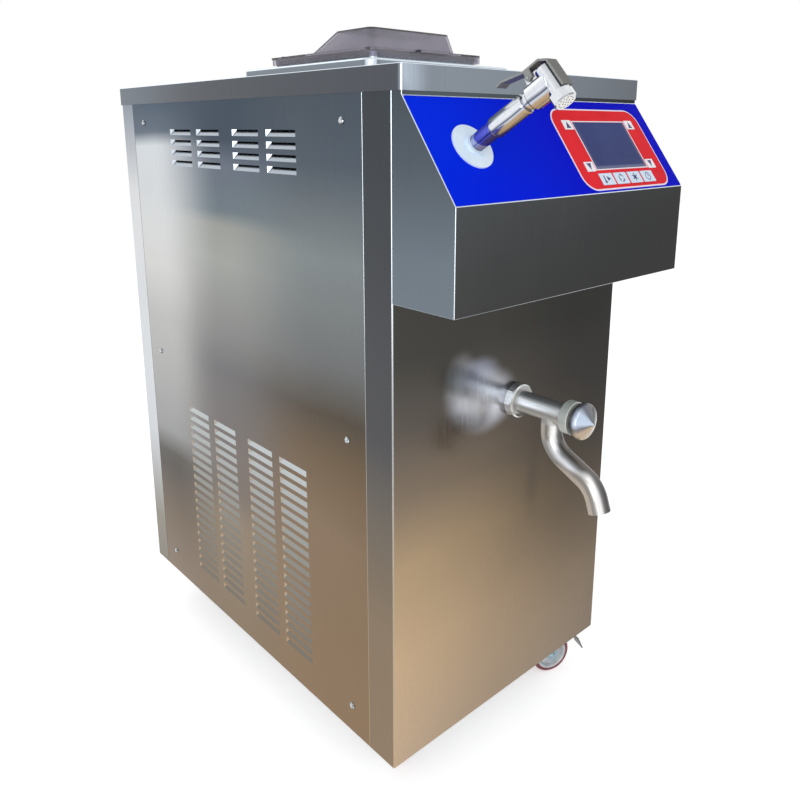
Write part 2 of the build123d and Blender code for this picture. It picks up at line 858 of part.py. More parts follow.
def heater():
    """The heating ring under the tank floor, with its two terminals."""
    top = tank_floor - tank_wall
    ring = along_z(heater_outer, top - heater_thickness, heater_thickness)
    ring -= along_z(heater_inner, top - heater_thickness - 1, heater_thickness + 2)
    for side in (-1, 1):
        place = Pos(side * terminal_spread, terminal_inset - heater_outer, 0)
        foot = top - heater_thickness - terminal_length
        ring += place * along_z(terminal_radius, foot, terminal_length + 2)
    return Pos(0, tank_y, 0) * ring


def shaft_seal():
    """The seal in the tank floor that the agitator shaft turns in."""
    foot = tank_floor - tank_wall
    bore = along_z(shaft_radius + running_fit, foot - 1, seal_height + 2)
    return Pos(0, tank_y, 0) * (along_z(seal_radius, foot, seal_height) - bore)


def agitator_motor():
    """The geared motor that hangs under the tank and turns the agitator shaft."""
    top = tank_floor - tank_wall
    flange_top = top - motor_neck_height
    body = along_z(motor_neck_radius, flange_top, motor_neck_height)
    body += along_z(motor_flange_radius, flange_top - motor_flange, motor_flange)
    can = along_z(motor_radius, flange_top - motor_flange - motor_height, motor_height)
    can = chamfer(can.edges().group_by(Axis.Z)[0], motor_chamfer)
    body += can
    box_start = motor_radius - terminal_box_overlap
    box_half = terminal_box[1] / 2
    box_foot = flange_top - motor_height
    box_end = box_start + terminal_box[0]
    body += block((box_start, box_end), (-box_half, box_half), (box_foot, box_foot + terminal_box[2]))
    socket = shaft_socket + motor_socket_gap
    body -= along_z(shaft_radius + running_fit, flange_top - socket, motor_neck_height + socket + 1)
    return Pos(0, tank_y, 0) * body


def agitator_shaft():
    """The upright shaft from the motor through the tank floor."""
    start = tank_floor - tank_wall - motor_neck_height - shaft_socket
    rod = along_z(shaft_radius, start, bottom_edge + shaft_top - start)
    return Pos(0, tank_y, 0) * chamfer(rod.edges().group_by(Axis.Z)[-1], shaft_chamfer)


def agitator_paddle():
    """Three pitched blades on a hub near the floor of the tank."""
    foot = tank_floor + paddle_gap
    hub = along_z(paddle_hub_radius, foot, blade_height)
    bore = along_z(shaft_radius, foot - 1, blade_height + 2)
    for index in range(blade_count):
        blade = Rot(blade_pitch, 0, 0) * Box(blade_reach, blade_thickness, blade_height)
        blade = Pos(blade_reach / 2, 0, foot + blade_height / 2) * blade
        hub += Rot(0, 0, index * 360 / blade_count) * blade
    return Pos(0, tank_y, 0) * (hub - bore)


def compressor():
    """The hermetic compressor on its four feet."""
    radius = compressor_radius
    body = along_z(radius, compressor_shell_foot, compressor_height - compressor_shell_foot)
    body = fillet(body.edges().group_by(Axis.Z)[-1], compressor_crown)
    body = fillet(body.edges().group_by(Axis.Z)[0], compressor_base)
    plate_side, plate_height, plate_corner_radius = compressor_plate
    plate_foot = compressor_shell_foot + 1 - plate_height
    body += Pos(0, 0, plate_foot) * slab(plate_side, plate_side, plate_height, plate_corner_radius)
    for x in (-compressor_foot_spread, compressor_foot_spread):
        for y in (-compressor_foot_spread, compressor_foot_spread):
            body += Pos(x, y, 0) * along_z(compressor_foot_radius, 0, compressor_foot_height)
    body += Pos(radius + relay_box[0] / 2 - relay_box_overlap, 0, relay_box_height) * Box(*relay_box)
    return Pos(compressor_x, front_y + compressor_setback, deck_z) * body


def condenser():
    """The finned block that draws its air through the louvres."""
    ends = condenser_length / 2
    core = block((-condenser_thickness / 2, condenser_thickness / 2), (-ends, ends), (0, condenser_height))
    pitch = condenser_length / condenser_fins
    cutter = Box(2 * fin_depth, pitch * fin_gap_share, condenser_height - 2 * fin_end_margin)
    grooves = []
    for index in range(condenser_fins):
        y = (index + 0.5) * pitch - ends
        grooves.append(Pos(-condenser_thickness / 2, y, condenser_height / 2) * cutter)
    return Pos(condenser_x, front_y + condenser_setback, deck_z) * core.cut(*grooves)


def fan_axis():
    """How far back and how high the fan's axis lies."""
    return front_y + condenser_setback, deck_z + condenser_height / 2


def fan():
    """The fan wheel with its stub shaft."""
    y, z = fan_axis()
    start = condenser_x + condenser_thickness / 2 + fan_gap
    body = along_x(fan_hub_radius, start, fan_hub_length)
    for index in range(fan_blades):
        blade = Pos(start + fan_hub_length / 2, 0, (fan_radius + fan_hub_radius) / 2 - 2)
        sail = Box(fan_blade_sheet, fan_blade_chord, fan_radius - fan_hub_radius)
        blade *= Rot(0, 0, fan_blade_pitch) * sail
        body += Rot(index * 360 / fan_blades, 0, 0) * blade
    body += along_x(fan_shaft_radius, start + fan_hub_length - 2, fan_shaft_length + 2)
    return Pos(0, y, z) * body


def fan_motor():
    """The fan motor on its foot."""
    y, z = fan_axis()
    start = condenser_x + condenser_thickness / 2 + fan_gap + fan_hub_length + fan_motor_gap
    body = along_x(fan_motor_radius, start, fan_motor_length)
    leg = (start + 2 * fan_motor_gap, start + fan_motor_length - 2 * fan_shaft_radius)
    body += block(leg, (-fan_motor_leg / 2, fan_motor_leg / 2), (deck_z - z, 0))
    foot_half = fan_motor_foot[0] / 2
    foot = (deck_z - z, deck_z - z + fan_motor_foot[1])
    body += block((start, start + fan_motor_length), (-foot_half, foot_half), foot)
    body -= along_x(fan_shaft_radius + running_fit, start - 1, fan_shaft_length)
    return Pos(0, y, z) * body


def tap_collar():
    """The union nut between the outlet pipe and the tap."""
    nut = extrude(RegularPolygon(collar_nut_radius, 8), collar_nut_length - collar_nut_rim)
    ring = along_z(collar_nut_radius - 1, 0, collar_nut_length)
    ring = chamfer(ring.edges().group_by(Axis.Z)[-1], collar_nut_chamfer)
    body = nut + ring - along_z(barrel_radius, -1, collar_nut_length + 2)
    return Pos(0, front_y, tap_z) * Rot(90, 0, 0) * body


def spout_path():
    """The centre line of the spout, from the barrel axis down, out and down again."""
    start = (-spout_reach, 0)
    down = Line(start, (-spout_reach, -spout_drop))
    bend = JernArc(down @ 1, down % 1, spout_bend_radius, -spout_bend_angle)
    middle = Line(bend @ 1, bend @ 1 + spout_middle * (bend % 1))
    turn = JernArc(middle @ 1, middle % 1, spout_tip_radius, spout_tip_angle)
    tip = Line(turn @ 1, turn @ 1 + spout_tip_length * (turn % 1))
    return down, bend, middle, turn, tip


def spout_solid(radius):
    """A round bar along the spout's centre line."""
    edges = [Plane.YZ * part for part in spout_path()]
    start = Plane(origin=(0, -spout_reach, 0), z_dir=(0, 0, -1))
    return sweep(start * Circle(radius), path=Wire([edge for part in edges for edge in part.edges()]))


def tap_body():
    """The barrel with the S-shaped spout welded under it."""
    barrel = Rot(180, 0, 0) * along_y(barrel_radius, 0, barrel_end)
    body = barrel + spout_solid(spout_radius)
    body -= Rot(180, 0, 0) * along_y(barrel_bore, -1, barrel_end + 2)
    body -= spout_solid(spout_bore)
    return Pos(0, front_y, tap_z) * body


def tap_ring_nut():
    """The plain round nut on the end of the barrel."""
    ring = along_z(ring_nut_radius, 0, ring_nut_length)
    ring = chamfer(ring.edges().group_by(Axis.Z)[0], ring_nut_inner_chamfer)
    ring = chamfer(ring.edges().group_by(Axis.Z)[-1], ring_nut_outer_chamfer)
    ring -= along_z(barrel_radius, -1, ring_nut_length + 2)
    start = barrel_end + ring_nut_overhang - ring_nut_length
    return Pos(0, front_y - start, tap_z) * Rot(90, 0, 0) * ring


def tap_plunger():
    """The rod that closes the spout port from inside, with its two seal grooves."""
    radius = barrel_bore - plunger_fit
    length = barrel_end + knob_gap - plunger_front + knob_socket
    rod = along_z(radius, plunger_front, length)
    rod = chamfer(rod.edges().group_by(Axis.Z)[0], plunger_chamfer)
    for place in seal_places:
        groove = along_z(radius + 1, place, 2 * seal_section)
        rod -= groove - along_z(radius - seal_section, place - 1, 2 * seal_section + 2)
    return Pos(0, front_y, tap_z) * Rot(90, 0, 0) * rod


def tap_seals():
    """The two rings in the grooves of the plunger."""
    rings = []
    for place in seal_places:
        ring = along_z(barrel_bore - plunger_fit / 2, place, 2 * seal_section)
        ring -= along_z(barrel_bore - plunger_fit - seal_section, place - 1, 2 * seal_section + 2)
        rings.append(Pos(0, front_y, tap_z) * Rot(90, 0, 0) * ring)
    return rings


def tap_knob():
    """The polished knob, a short rim that runs into a blunt cone."""
    start = barrel_end + knob_gap
    rim_end = start + knob_edge
    profile = make_face(Polyline((0, start), (knob_radius, start), (knob_radius, rim_end),
                                 (knob_nose, knob_tip), (0, knob_tip), close=True))
    nose = profile.vertices().sort_by(Axis.Y)[-2:].sort_by(Axis.X)[-1]
    knob = revolve(Plane.XZ * fillet(nose, knob_round), Axis.Z)
    knob = chamfer(knob.edges().group_by(Axis.Z)[0], knob_chamfer)
    knob -= along_z(barrel_bore - plunger_fit, start - 1, knob_socket + 1)
    return Pos(0, front_y, tap_z) * Rot(90, 0, 0) * knob


def spray_holder():
    """The flange on the slope with the sleeve that the handle stands in."""
    crown = holder_edge + holder_crown
    disc = turned([(0, overlay_thickness), (holder_radius, overlay_thickness), (holder_radius, holder_edge),
                   (holder_neck_radius + holder_skirt, crown), (0, crown)])
    neck = along_z(holder_neck_radius, 2, holder_neck - 2)
    neck += along_z(holder_sleeve_radius, -holder_sleeve, holder_sleeve + 4)
    bore = spray_hole(handle_foot_radius + running_fit, holder_sleeve + 10, 2 * holder_sleeve)
    return spray_base * disc + spray_frame * neck - bore


def spray_handle():
    """The chrome handle, with its shoulder, grip and narrow neck."""
    swell = handle_radius + handle_swell
    collar_start = valve_start - neck_collar_length
    collar_radius = valve_radius - neck_collar_inset
    sleeve_end = (handle_foot_radius, -holder_sleeve)
    foot = [(0, -holder_sleeve), sleeve_end, (handle_foot_radius, handle_shoulder)]
    grip_end = (handle_radius, handle_length - handle_end_length)
    grip = [(swell, handle_shoulder + handle_swell_length), grip_end,
            (handle_radius - handle_swell, handle_length)]
    neck = [(handle_neck_radius, handle_length), (handle_neck_radius, collar_start)]
    collar_ring = [(collar_radius, collar_start), (collar_radius, valve_start), (0, valve_start)]
    return spray_frame * turned(foot + grip + neck + collar_ring)


def head_frame():
    """The frame of the head, with +Z towards the nozzle."""
    return spray_frame * Pos(0, 0, head_place) * Rot(90 - head_tilt, 0, 0)


def spray_head():
    """The valve body and the head that stands across it, with the boss for the trigger pin."""
    valve = along_z(valve_radius, valve_start, head_place - valve_start)
    valve = chamfer(valve.edges().group_by(Axis.Z)[0], valve_chamfer)
    tube = along_z(head_radius, -head_back, head_back + head_front)
    tube = chamfer(tube.edges().group_by(Axis.Z)[0], head_chamfer)
    upright = (pivot_place - boss_below, head_place - 4)
    boss = block((-pivot_boss / 2, pivot_boss / 2), (0, pivot_up + boss_above), upright)
    bore = Pos(0, pivot_up, pivot_place) * along_x(pin_radius, -pivot_boss, 2 * pivot_boss)
    return spray_frame * (valve + boss - bore) + head_frame() * tube


def spray_nozzle():
    """The screwed nozzle ring with twelve flats and a drilled face."""
    ring = extrude(RegularPolygon(nozzle_radius, nozzle_flats), nozzle_length)
    ring = chamfer(ring.edges().group_by(Axis.Z)[-1], nozzle_chamfer)
    jet = Pos(0, 0, nozzle_length) * Cylinder(jet_radius, 2 * jet_depth)
    jets = [jet]
    for count, radius in zip(jet_counts, jet_circles):
        jets += [Rot(0, 0, index * 360 / count) * Pos(radius, 0, 0) * jet for index in range(count)]
    return head_frame() * Pos(0, 0, head_front) * ring.cut(*jets)


def spray_trigger():
    """The strap over the head that bends down behind it as the lever, with two cheeks on the pin."""
    rise = head_radius + lever_clearance + trigger_plate / 2
    lean = radians(head_tilt)
    crest = [(rise * sin(lean) + place * cos(lean), head_place + rise * cos(lean) - place * sin(lean))
             for place in (-lever_front, lever_corner)]
    line = Polyline(*crest, (lever_back, lever_shoulder), (lever_back, lever_bend), lever_knee, lever_tip)
    strip = Plane.YZ * trace(line, trigger_plate)
    lever = Pos(-trigger_width / 2, 0, 0) * extrude(strip, trigger_width)
    inner = pivot_boss / 2 + seam
    for side in (-1, 1):
        span = sorted((side * inner, side * trigger_width / 2))
        upright = (pivot_place - cheek_below, pivot_place + cheek_above)
        cheek = block(span, (pivot_up - cheek_inset, lever_back), upright)
        cheek += Pos(0, pivot_up, pivot_place) * along_x(cheek_eye_radius, span[0], span[1] - span[0])
        lever += cheek
    bore = along_x(pin_radius + running_fit, -trigger_width, 2 * trigger_width)
    return spray_frame * (lever - Pos(0, pivot_up, pivot_place) * bore)


def trigger_pin():
    """The pin through the boss and both cheeks."""
    half = trigger_width / 2 + pin_end
    return spray_frame * Pos(0, pivot_up, pivot_place) * along_x(pin_radius, -half, 2 * half)


def caster_plates():
    """The four bolted top plates, each with its raceway."""
    solids = []
    for x, y in caster_places().values():
        plate_foot = caster_height - plate_thickness
        plate = Pos(0, 0, plate_foot) * slab(plate_width, plate_length, plate_thickness, plate_corner)
        for bolt_x in (-bolt_spread[0], bolt_spread[0]):
            for bolt_y in (-bolt_spread[1], bolt_spread[1]):
                hole = along_z(bolt_hole_radius, plate_foot - 1, plate_thickness + 2)
                plate -= Pos(bolt_x, bolt_y, 0) * hole
                bolt = extrude(RegularPolygon(bolt_radius, 6), bolt_height)
                plate += Pos(bolt_x, bolt_y, plate_foot - bolt_height) * bolt
        plate += along_z(raceway_radius, plate_foot - raceway_height, raceway_height)
        solids.append(Pos(x, y, 0) * plate)
    return solids


def fork_top():
    """The level of the fork's crown, just under the raceway."""
    return caster_height - plate_thickness - raceway_height - swivel_gap


def fork_leg():
    """One leg of the fork, a plate that narrows to the axle."""
    top = fork_top()
    eye = Pos(fork_trail, wheel_radius) * Circle(fork_eye_radius)
    front = [(fork_front, top), (fork_trail + fork_eye_radius - 0.5, wheel_radius + 4),
             (fork_trail + 3, wheel_radius - fork_eye_radius + 0.5)]
    back = [(fork_trail - fork_eye_radius + 1, wheel_radius - 4), (-fork_back, top - fork_skirt)]
    web = make_face(Polyline((-fork_back, top), *front, *back, close=True))
    return extrude(Plane.XZ * (eye + web), fork_sheet)


def caster_fork(corner):
    """The swivelling fork and its axle bolt."""
    x, y = caster_places()[corner]
    top = fork_top()
    leg = fork_leg()
    half = fork_gap / 2 + fork_sheet
    near = Pos(0, -fork_gap / 2, 0) * leg
    far = Pos(0, half, 0) * leg
    bridge = block((-fork_back, fork_front), (-half, half), (top - bridge_thickness, top))
    crown = along_z(raceway_radius - crown_inset, top - crown_thickness, crown_thickness)
    fork = near + far + bridge + crown
    hole = Pos(fork_trail, 0, wheel_radius) * along_y(axle_radius, -half - 1, 2 * half + 2)
    if corner in braked:
        pivot = Pos(pedal_pivot_x, 0, pedal_pivot_z)
        hole += pivot * along_y(pedal_pin_radius + running_fit, -half - 1, 2 * half + 2)
    bolt = along_y(axle_radius, -half - 1, 2 * half + 2)
    for start in (-half - nut_height, half):
        bolt += Pos(0, start, 0) * Rot(-90, 0, 0) * extrude(RegularPolygon(bolt_radius, 6), nut_height)
    place = Pos(x, y, 0) * Rot(0, 0, caster_yaws[corner])
    return [place * (fork - hole), place * (Pos(fork_trail, 0, wheel_radius) * bolt)]


def wheel_frame(corner):
    """The frame of a wheel, with its axle along Z."""
    x, y = caster_places()[corner]
    return Pos(x, y, 0) * Rot(0, 0, caster_yaws[corner]) * Pos(fork_trail, 0, wheel_radius) * Rot(90, 0, 0)


def caster_wheel(corner):
    """The wheel, a ribbed core with the tyre moulded on it."""
    core_radius = wheel_radius - tyre_thickness
    half = tyre_width / 2
    bore = axle_radius + running_fit
    hub = hub_width / 2
    inside = core_radius - rim_wall
    edge = half - rim_step
    side = [(hub_radius, hub), (hub_radius, web_half), (inside, web_half), (inside, edge)]
    side.append((core_radius, edge))
    other_side = [(radius, -height) for radius, height in reversed(side)]
    core = turned([(bore, hub), *side, *other_side, (bore, -hub)])
    shoulder = wheel_radius - tyre_chamfer
    tyre = turned([(core_radius, -half), (shoulder, -half), (wheel_radius, tyre_chamfer - half),
                   (wheel_radius, half - tyre_chamfer), (shoulder, half), (core_radius, half)])
    place = wheel_frame(corner)
    return [place * core, place * tyre]


def brake_pedal(corner):
    """The bent foot plate of a front caster's brake, with the pin that it turns on."""
    x, y = caster_places()[corner]
    height = pedal_pivot_z + pedal_eye_radius - pedal_sheet
    line = Polyline((pedal_pivot_x, height), (pedal_bend, height), pedal_knee, pedal_tip)
    strip = trace(line, 2 * pedal_sheet)
    plate = Pos(0, pedal_width / 2, 0) * extrude(Plane.XZ * strip, pedal_width)
    half = fork_gap / 2 + fork_sheet
    pivot = Pos(pedal_pivot_x, 0, pedal_pivot_z)
    eye = pivot * along_y(pedal_eye_radius, -fork_gap / 2 + seam, fork_gap - 2 * seam)
    pin = pivot * along_y(pedal_pin_radius, -half, 2 * half)
    place = Pos(x, y, 0) * Rot(0, 0, caster_yaws[corner])
    return place * (plate + eye + pin)


def rear_fitting(side):
    """The place of a fitting on the rear panel, with +Z outwards."""
    return Pos(side * rear_fitting_x, rear_y, bottom_edge + rear_fitting_height) * Rot(-90, 0, 0)


def water_inlet():
    """The threaded nipple for the cooling water hose."""
    length = inlet_hex_length + inlet_length
    body = along_z(inlet_radius, -fitting_body, fitting_body + length)
    body += extrude(RegularPolygon(inlet_hex_radius, 6), inlet_hex_length)
    body += along_z(inlet_hex_radius, -sheet - fitting_flange, fitting_flange)
    body -= along_z(inlet_bore, -fitting_body - 1, fitting_body + length + 2)
    return rear_fitting(-1) * body


def cable_gland():
    """The gland of the supply lead, without the lead."""
    body = along_z(gland_radius - gland_wall, -gland_body, gland_body + gland_step)
    body += extrude(RegularPolygon(gland_radius, 6), gland_hex_length)
    dome_nut = along_z(gland_radius - gland_step, gland_hex_length, gland_length - gland_hex_length)
    body += fillet(dome_nut.edges().group_by(Axis.Z)[-1], gland_round)
    body += along_z(gland_radius, -sheet - fitting_flange, fitting_flange)
    body -= along_z(gland_bore, -gland_body - 1, gland_body + gland_length + 2)
    return rear_fitting(1) * body


save("base_chassis", chassis())
save("frame_posts", *posts())
save("front_shell", front_shell())
save("rear_shell", rear_shell())
save("left_side_panel", side_panel(-1))
save("right_side_panel", side_panel(1))
save("panel_screws", *screws())
save("top_cover", top_cover())
save("control_hood", hood())
save("control_overlay", overlay())
save("keypad_membrane", keypad())
save("display_module", display())
for name, (x, down, size) in key_places().items():
    save(name, key(x, down, size))
save("tank_vessel", vessel())
save("tank_collar", collar())
save("lid_gasket", gasket())
save("tank_lid", lid())
save("lid_hinge", *hinge_brackets(), hinge_pin())
save("cooling_jacket", cooling_jacket())
save("heater_ring", heater())
save("shaft_seal", shaft_seal())
save("agitator_motor", agitator_motor())
save("agitator_shaft", agitator_shaft())
save("agitator_paddle", agitator_paddle())
save("compressor", compressor())
save("condenser", condenser())
save("condenser_fan", fan())
save("fan_motor", fan_motor())
save("tap_collar_nut", tap_collar())
save("tap_body", tap_body())
save("tap_ring_nut", tap_ring_nut())
save("tap_plunger", tap_plunger())
save("tap_seals", *tap_seals())
save("tap_knob", tap_knob())
save("spray_holder", spray_holder())
save("spray_handle", spray_handle())
save("spray_head", spray_head())
save("spray_nozzle", spray_nozzle())
save("spray_trigger", spray_trigger())
save("trigger_pin", trigger_pin())
save("caster_plates", *caster_plates())
for corner in caster_places():
    save(f"caster_fork_{corner}", *caster_fork(corner))
    save(f"caster_wheel_{corner}", *caster_wheel(corner))
for corner in braked:
    save(f"brake_pedal_{corner}", brake_pedal(corner))
save("water_inlet", water_inlet())
save("cable_gland", cable_gland())

print(f"front_y {front_y:.3f}  rear_y {rear_y:.3f}  slope {slope_angle:.3f}")
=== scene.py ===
import json
from math import cos, pi, sin

import bmesh
import bpy
from bpy.props import FloatProperty, FloatVectorProperty, PointerProperty
from mathutils import Matrix, Vector


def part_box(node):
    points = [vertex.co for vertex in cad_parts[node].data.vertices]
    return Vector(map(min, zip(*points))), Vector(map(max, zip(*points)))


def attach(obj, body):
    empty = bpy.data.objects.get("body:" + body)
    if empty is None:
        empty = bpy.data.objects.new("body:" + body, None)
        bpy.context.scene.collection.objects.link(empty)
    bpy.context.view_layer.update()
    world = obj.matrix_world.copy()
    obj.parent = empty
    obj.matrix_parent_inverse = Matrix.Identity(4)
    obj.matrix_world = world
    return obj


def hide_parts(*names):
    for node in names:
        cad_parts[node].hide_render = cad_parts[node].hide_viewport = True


bl_info = {
    "name": "Ice cream pasteurizer looks",
    "version": (1, 0, 0),
    "blender": (4, 5, 0),
    "location": "3D View > Sidebar > Pasteurizer",
    "description": "Finishes, keypad artwork, tap knob, weld seam and stage for the pasteurizer frame",
    "category": "Object",
}

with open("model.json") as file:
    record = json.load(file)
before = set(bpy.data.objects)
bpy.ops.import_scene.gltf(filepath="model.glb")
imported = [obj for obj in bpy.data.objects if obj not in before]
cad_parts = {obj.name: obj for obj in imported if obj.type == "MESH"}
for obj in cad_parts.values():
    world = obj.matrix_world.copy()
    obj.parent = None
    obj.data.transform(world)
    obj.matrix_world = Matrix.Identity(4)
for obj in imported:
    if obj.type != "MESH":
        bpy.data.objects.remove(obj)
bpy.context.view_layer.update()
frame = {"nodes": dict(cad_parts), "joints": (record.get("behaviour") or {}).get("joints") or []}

# Places read from the frame, in metres.
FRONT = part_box("front_shell")[0].y
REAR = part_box("rear_shell")[1].y
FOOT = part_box("front_shell")[0].z
HALF_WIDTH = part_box("front_shell")[1].x
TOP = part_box("top_cover")[1].z
JOINTS = {joint["name"]: joint for joint in frame["joints"]}

# The slope of the control hood, from its lip under the top plate down to its knee.
LIP = Vector((0.0, FRONT - 0.018, FOOT + 0.958))
KNEE = Vector((0.0, FRONT - 0.109, FOOT + 0.833))
SLOPE_UP = (LIP - KNEE).normalized()
SLOPE_OUT = Vector((1, 0, 0)).cross(SLOPE_UP)

# The keypad: heights of its layers over the slope, the thickness of what is printed on them, and places on the
# slope as distances right of its middle and down from its lip.
FILM_TOP = 0.0005
MEMBRANE_TOP = 0.0013
KEY_TOP = 0.0017
OUTLINE_THICKNESS = 0.0004
BORDER_THICKNESS = 0.00015
INK_THICKNESS = 0.00012
KEYPAD_X = 0.116
KEYPAD_DOWN = 0.08275
KEYPAD_SIZE = (0.212, 0.1305, 0.022)
SCREEN_SIZE = (0.129, 0.079)
SCREEN_DOWN = 0.0775
ARROW_KEYS = {
    "arrow_key_up_left": (-0.078, 0.0428, 1),
    "arrow_key_down_left": (-0.078, 0.1123, -1),
    "arrow_key_up_right": (0.078, 0.0428, 1),
    "arrow_key_down_right": (0.078, 0.1123, -1),
}
FUNCTION_KEYS = {
    "function_key_heat": -0.0525,
    "function_key_cycle": -0.0175,
    "function_key_cool": 0.0175,
    "function_key_store": 0.0525,
}
FUNCTION_DOWN = 0.1336

# The tap and the hand spray.
TAP = Vector((0.0, FRONT, FOOT + 0.516))
TAP_WELD = TAP + Vector((0, -0.014, 0))
TAP_WELD_RADIUS = 0.0172
SPRAY_AXIS = Vector(JOINTS["spray_lift"]["axis"])
SPRAY_X = -0.1756
SPRAY_DOWN = 0.075
SPRAY_FOOT = LIP - SLOPE_UP * SPRAY_DOWN + Vector((SPRAY_X, 0, 0))

# The tap's knob: its back by shares of the radius and distances from the back face, the depth of its rounded rim
# with the share of the radius that the rounding takes, and its tip by radii and distances short of the tip.
KNOB_BACK = ((0.0, 0.0), (0.74, 0.0), (0.86, 0.0006), (0.93, 0.0026))
KNOB_RIM = 0.0064
KNOB_ROUNDING = 0.16
KNOB_TIP = ((0.0036, 0.0016), (0.0034, 0.0010), (0.0026, 0.0004), (0.0014, 0.0))
KNOB_STEPS = 96

CORNERS = ("front_left", "front_right", "rear_left", "rear_right")
WHEEL_CORE_EDGE = (0.0303, 0.0307)
QUADRANTS = ((1, 1), (-1, 1), (-1, -1), (1, -1))

# The stage: reach and glow of the floor, lamps by place, share of the key light's power, and size, and the
# camera.
FLOOR_REACH = 9.0
FLOOR_GLOW = 0.5
LAMP_TARGET = Vector((0, 0, 0.6))
LAMPS = (
    ("key_lamp", (-2.2, -2.4, 2.6), 1.0, 2.0),
    ("fill_lamp", (2.6, -1.6, 1.8), 0.45, 2.4),
    ("back_lamp", (-0.6, 2.8, 2.6), 0.5, 2.2),
    ("low_lamp", (-1.7, -1.1, 0.75), 0.65, 1.0),
)
CAMERA_PLACE = (-0.8630, FRONT - 0.7029, 1.0153)
CAMERA_AHEAD = (0.6522, 0.7218, -0.2317)
CAMERA_RIGHT = (0.7420, -0.6704, 0.0)
CAMERA_SHIFT = (-0.0065, -0.1134)
CAMERA_SENSOR = 36.0

# How the finishes are laid out: the part of a noise's range that is used, the grain of brushed sheet and of
# turned parts, the roughness of the sheets, how far their tones wander up and down and along the depth, and the
# ranges of a normal's parts that tell the faces of a sheet apart.
MIDDLE = (0.3, 0.7)
SHEET_GRAIN = (8, 8, 0.15)
FINE_GRAIN = (4, 4, 4)
FIN_GRAIN = (1, 1, 30)
SHEET_ROUGHNESS = 0.22
SWAY_UP = 0.03
SWAY_ALONG = 0.12
SIDEWAYS = (0.45, 0.75)
UPWARDS = (0.75, 0.95)
FLAP_LEAST = (0.25, 0.4)
FLAP_MOST = (0.7, 0.6)
FLAP_SIDEWAYS = (0.5, 0.7)
BEND = (0.2, 0.4)


def tone(red, green, blue):
    """A colour given as it looks on a screen, from 0 to 255, in Blender's linear values."""
    def linear(value):
        value /= 255
        return value / 12.92 if value <= 0.04045 else ((value + 0.055) / 1.055) ** 2.4
    return (linear(red), linear(green), linear(blue), 1.0)


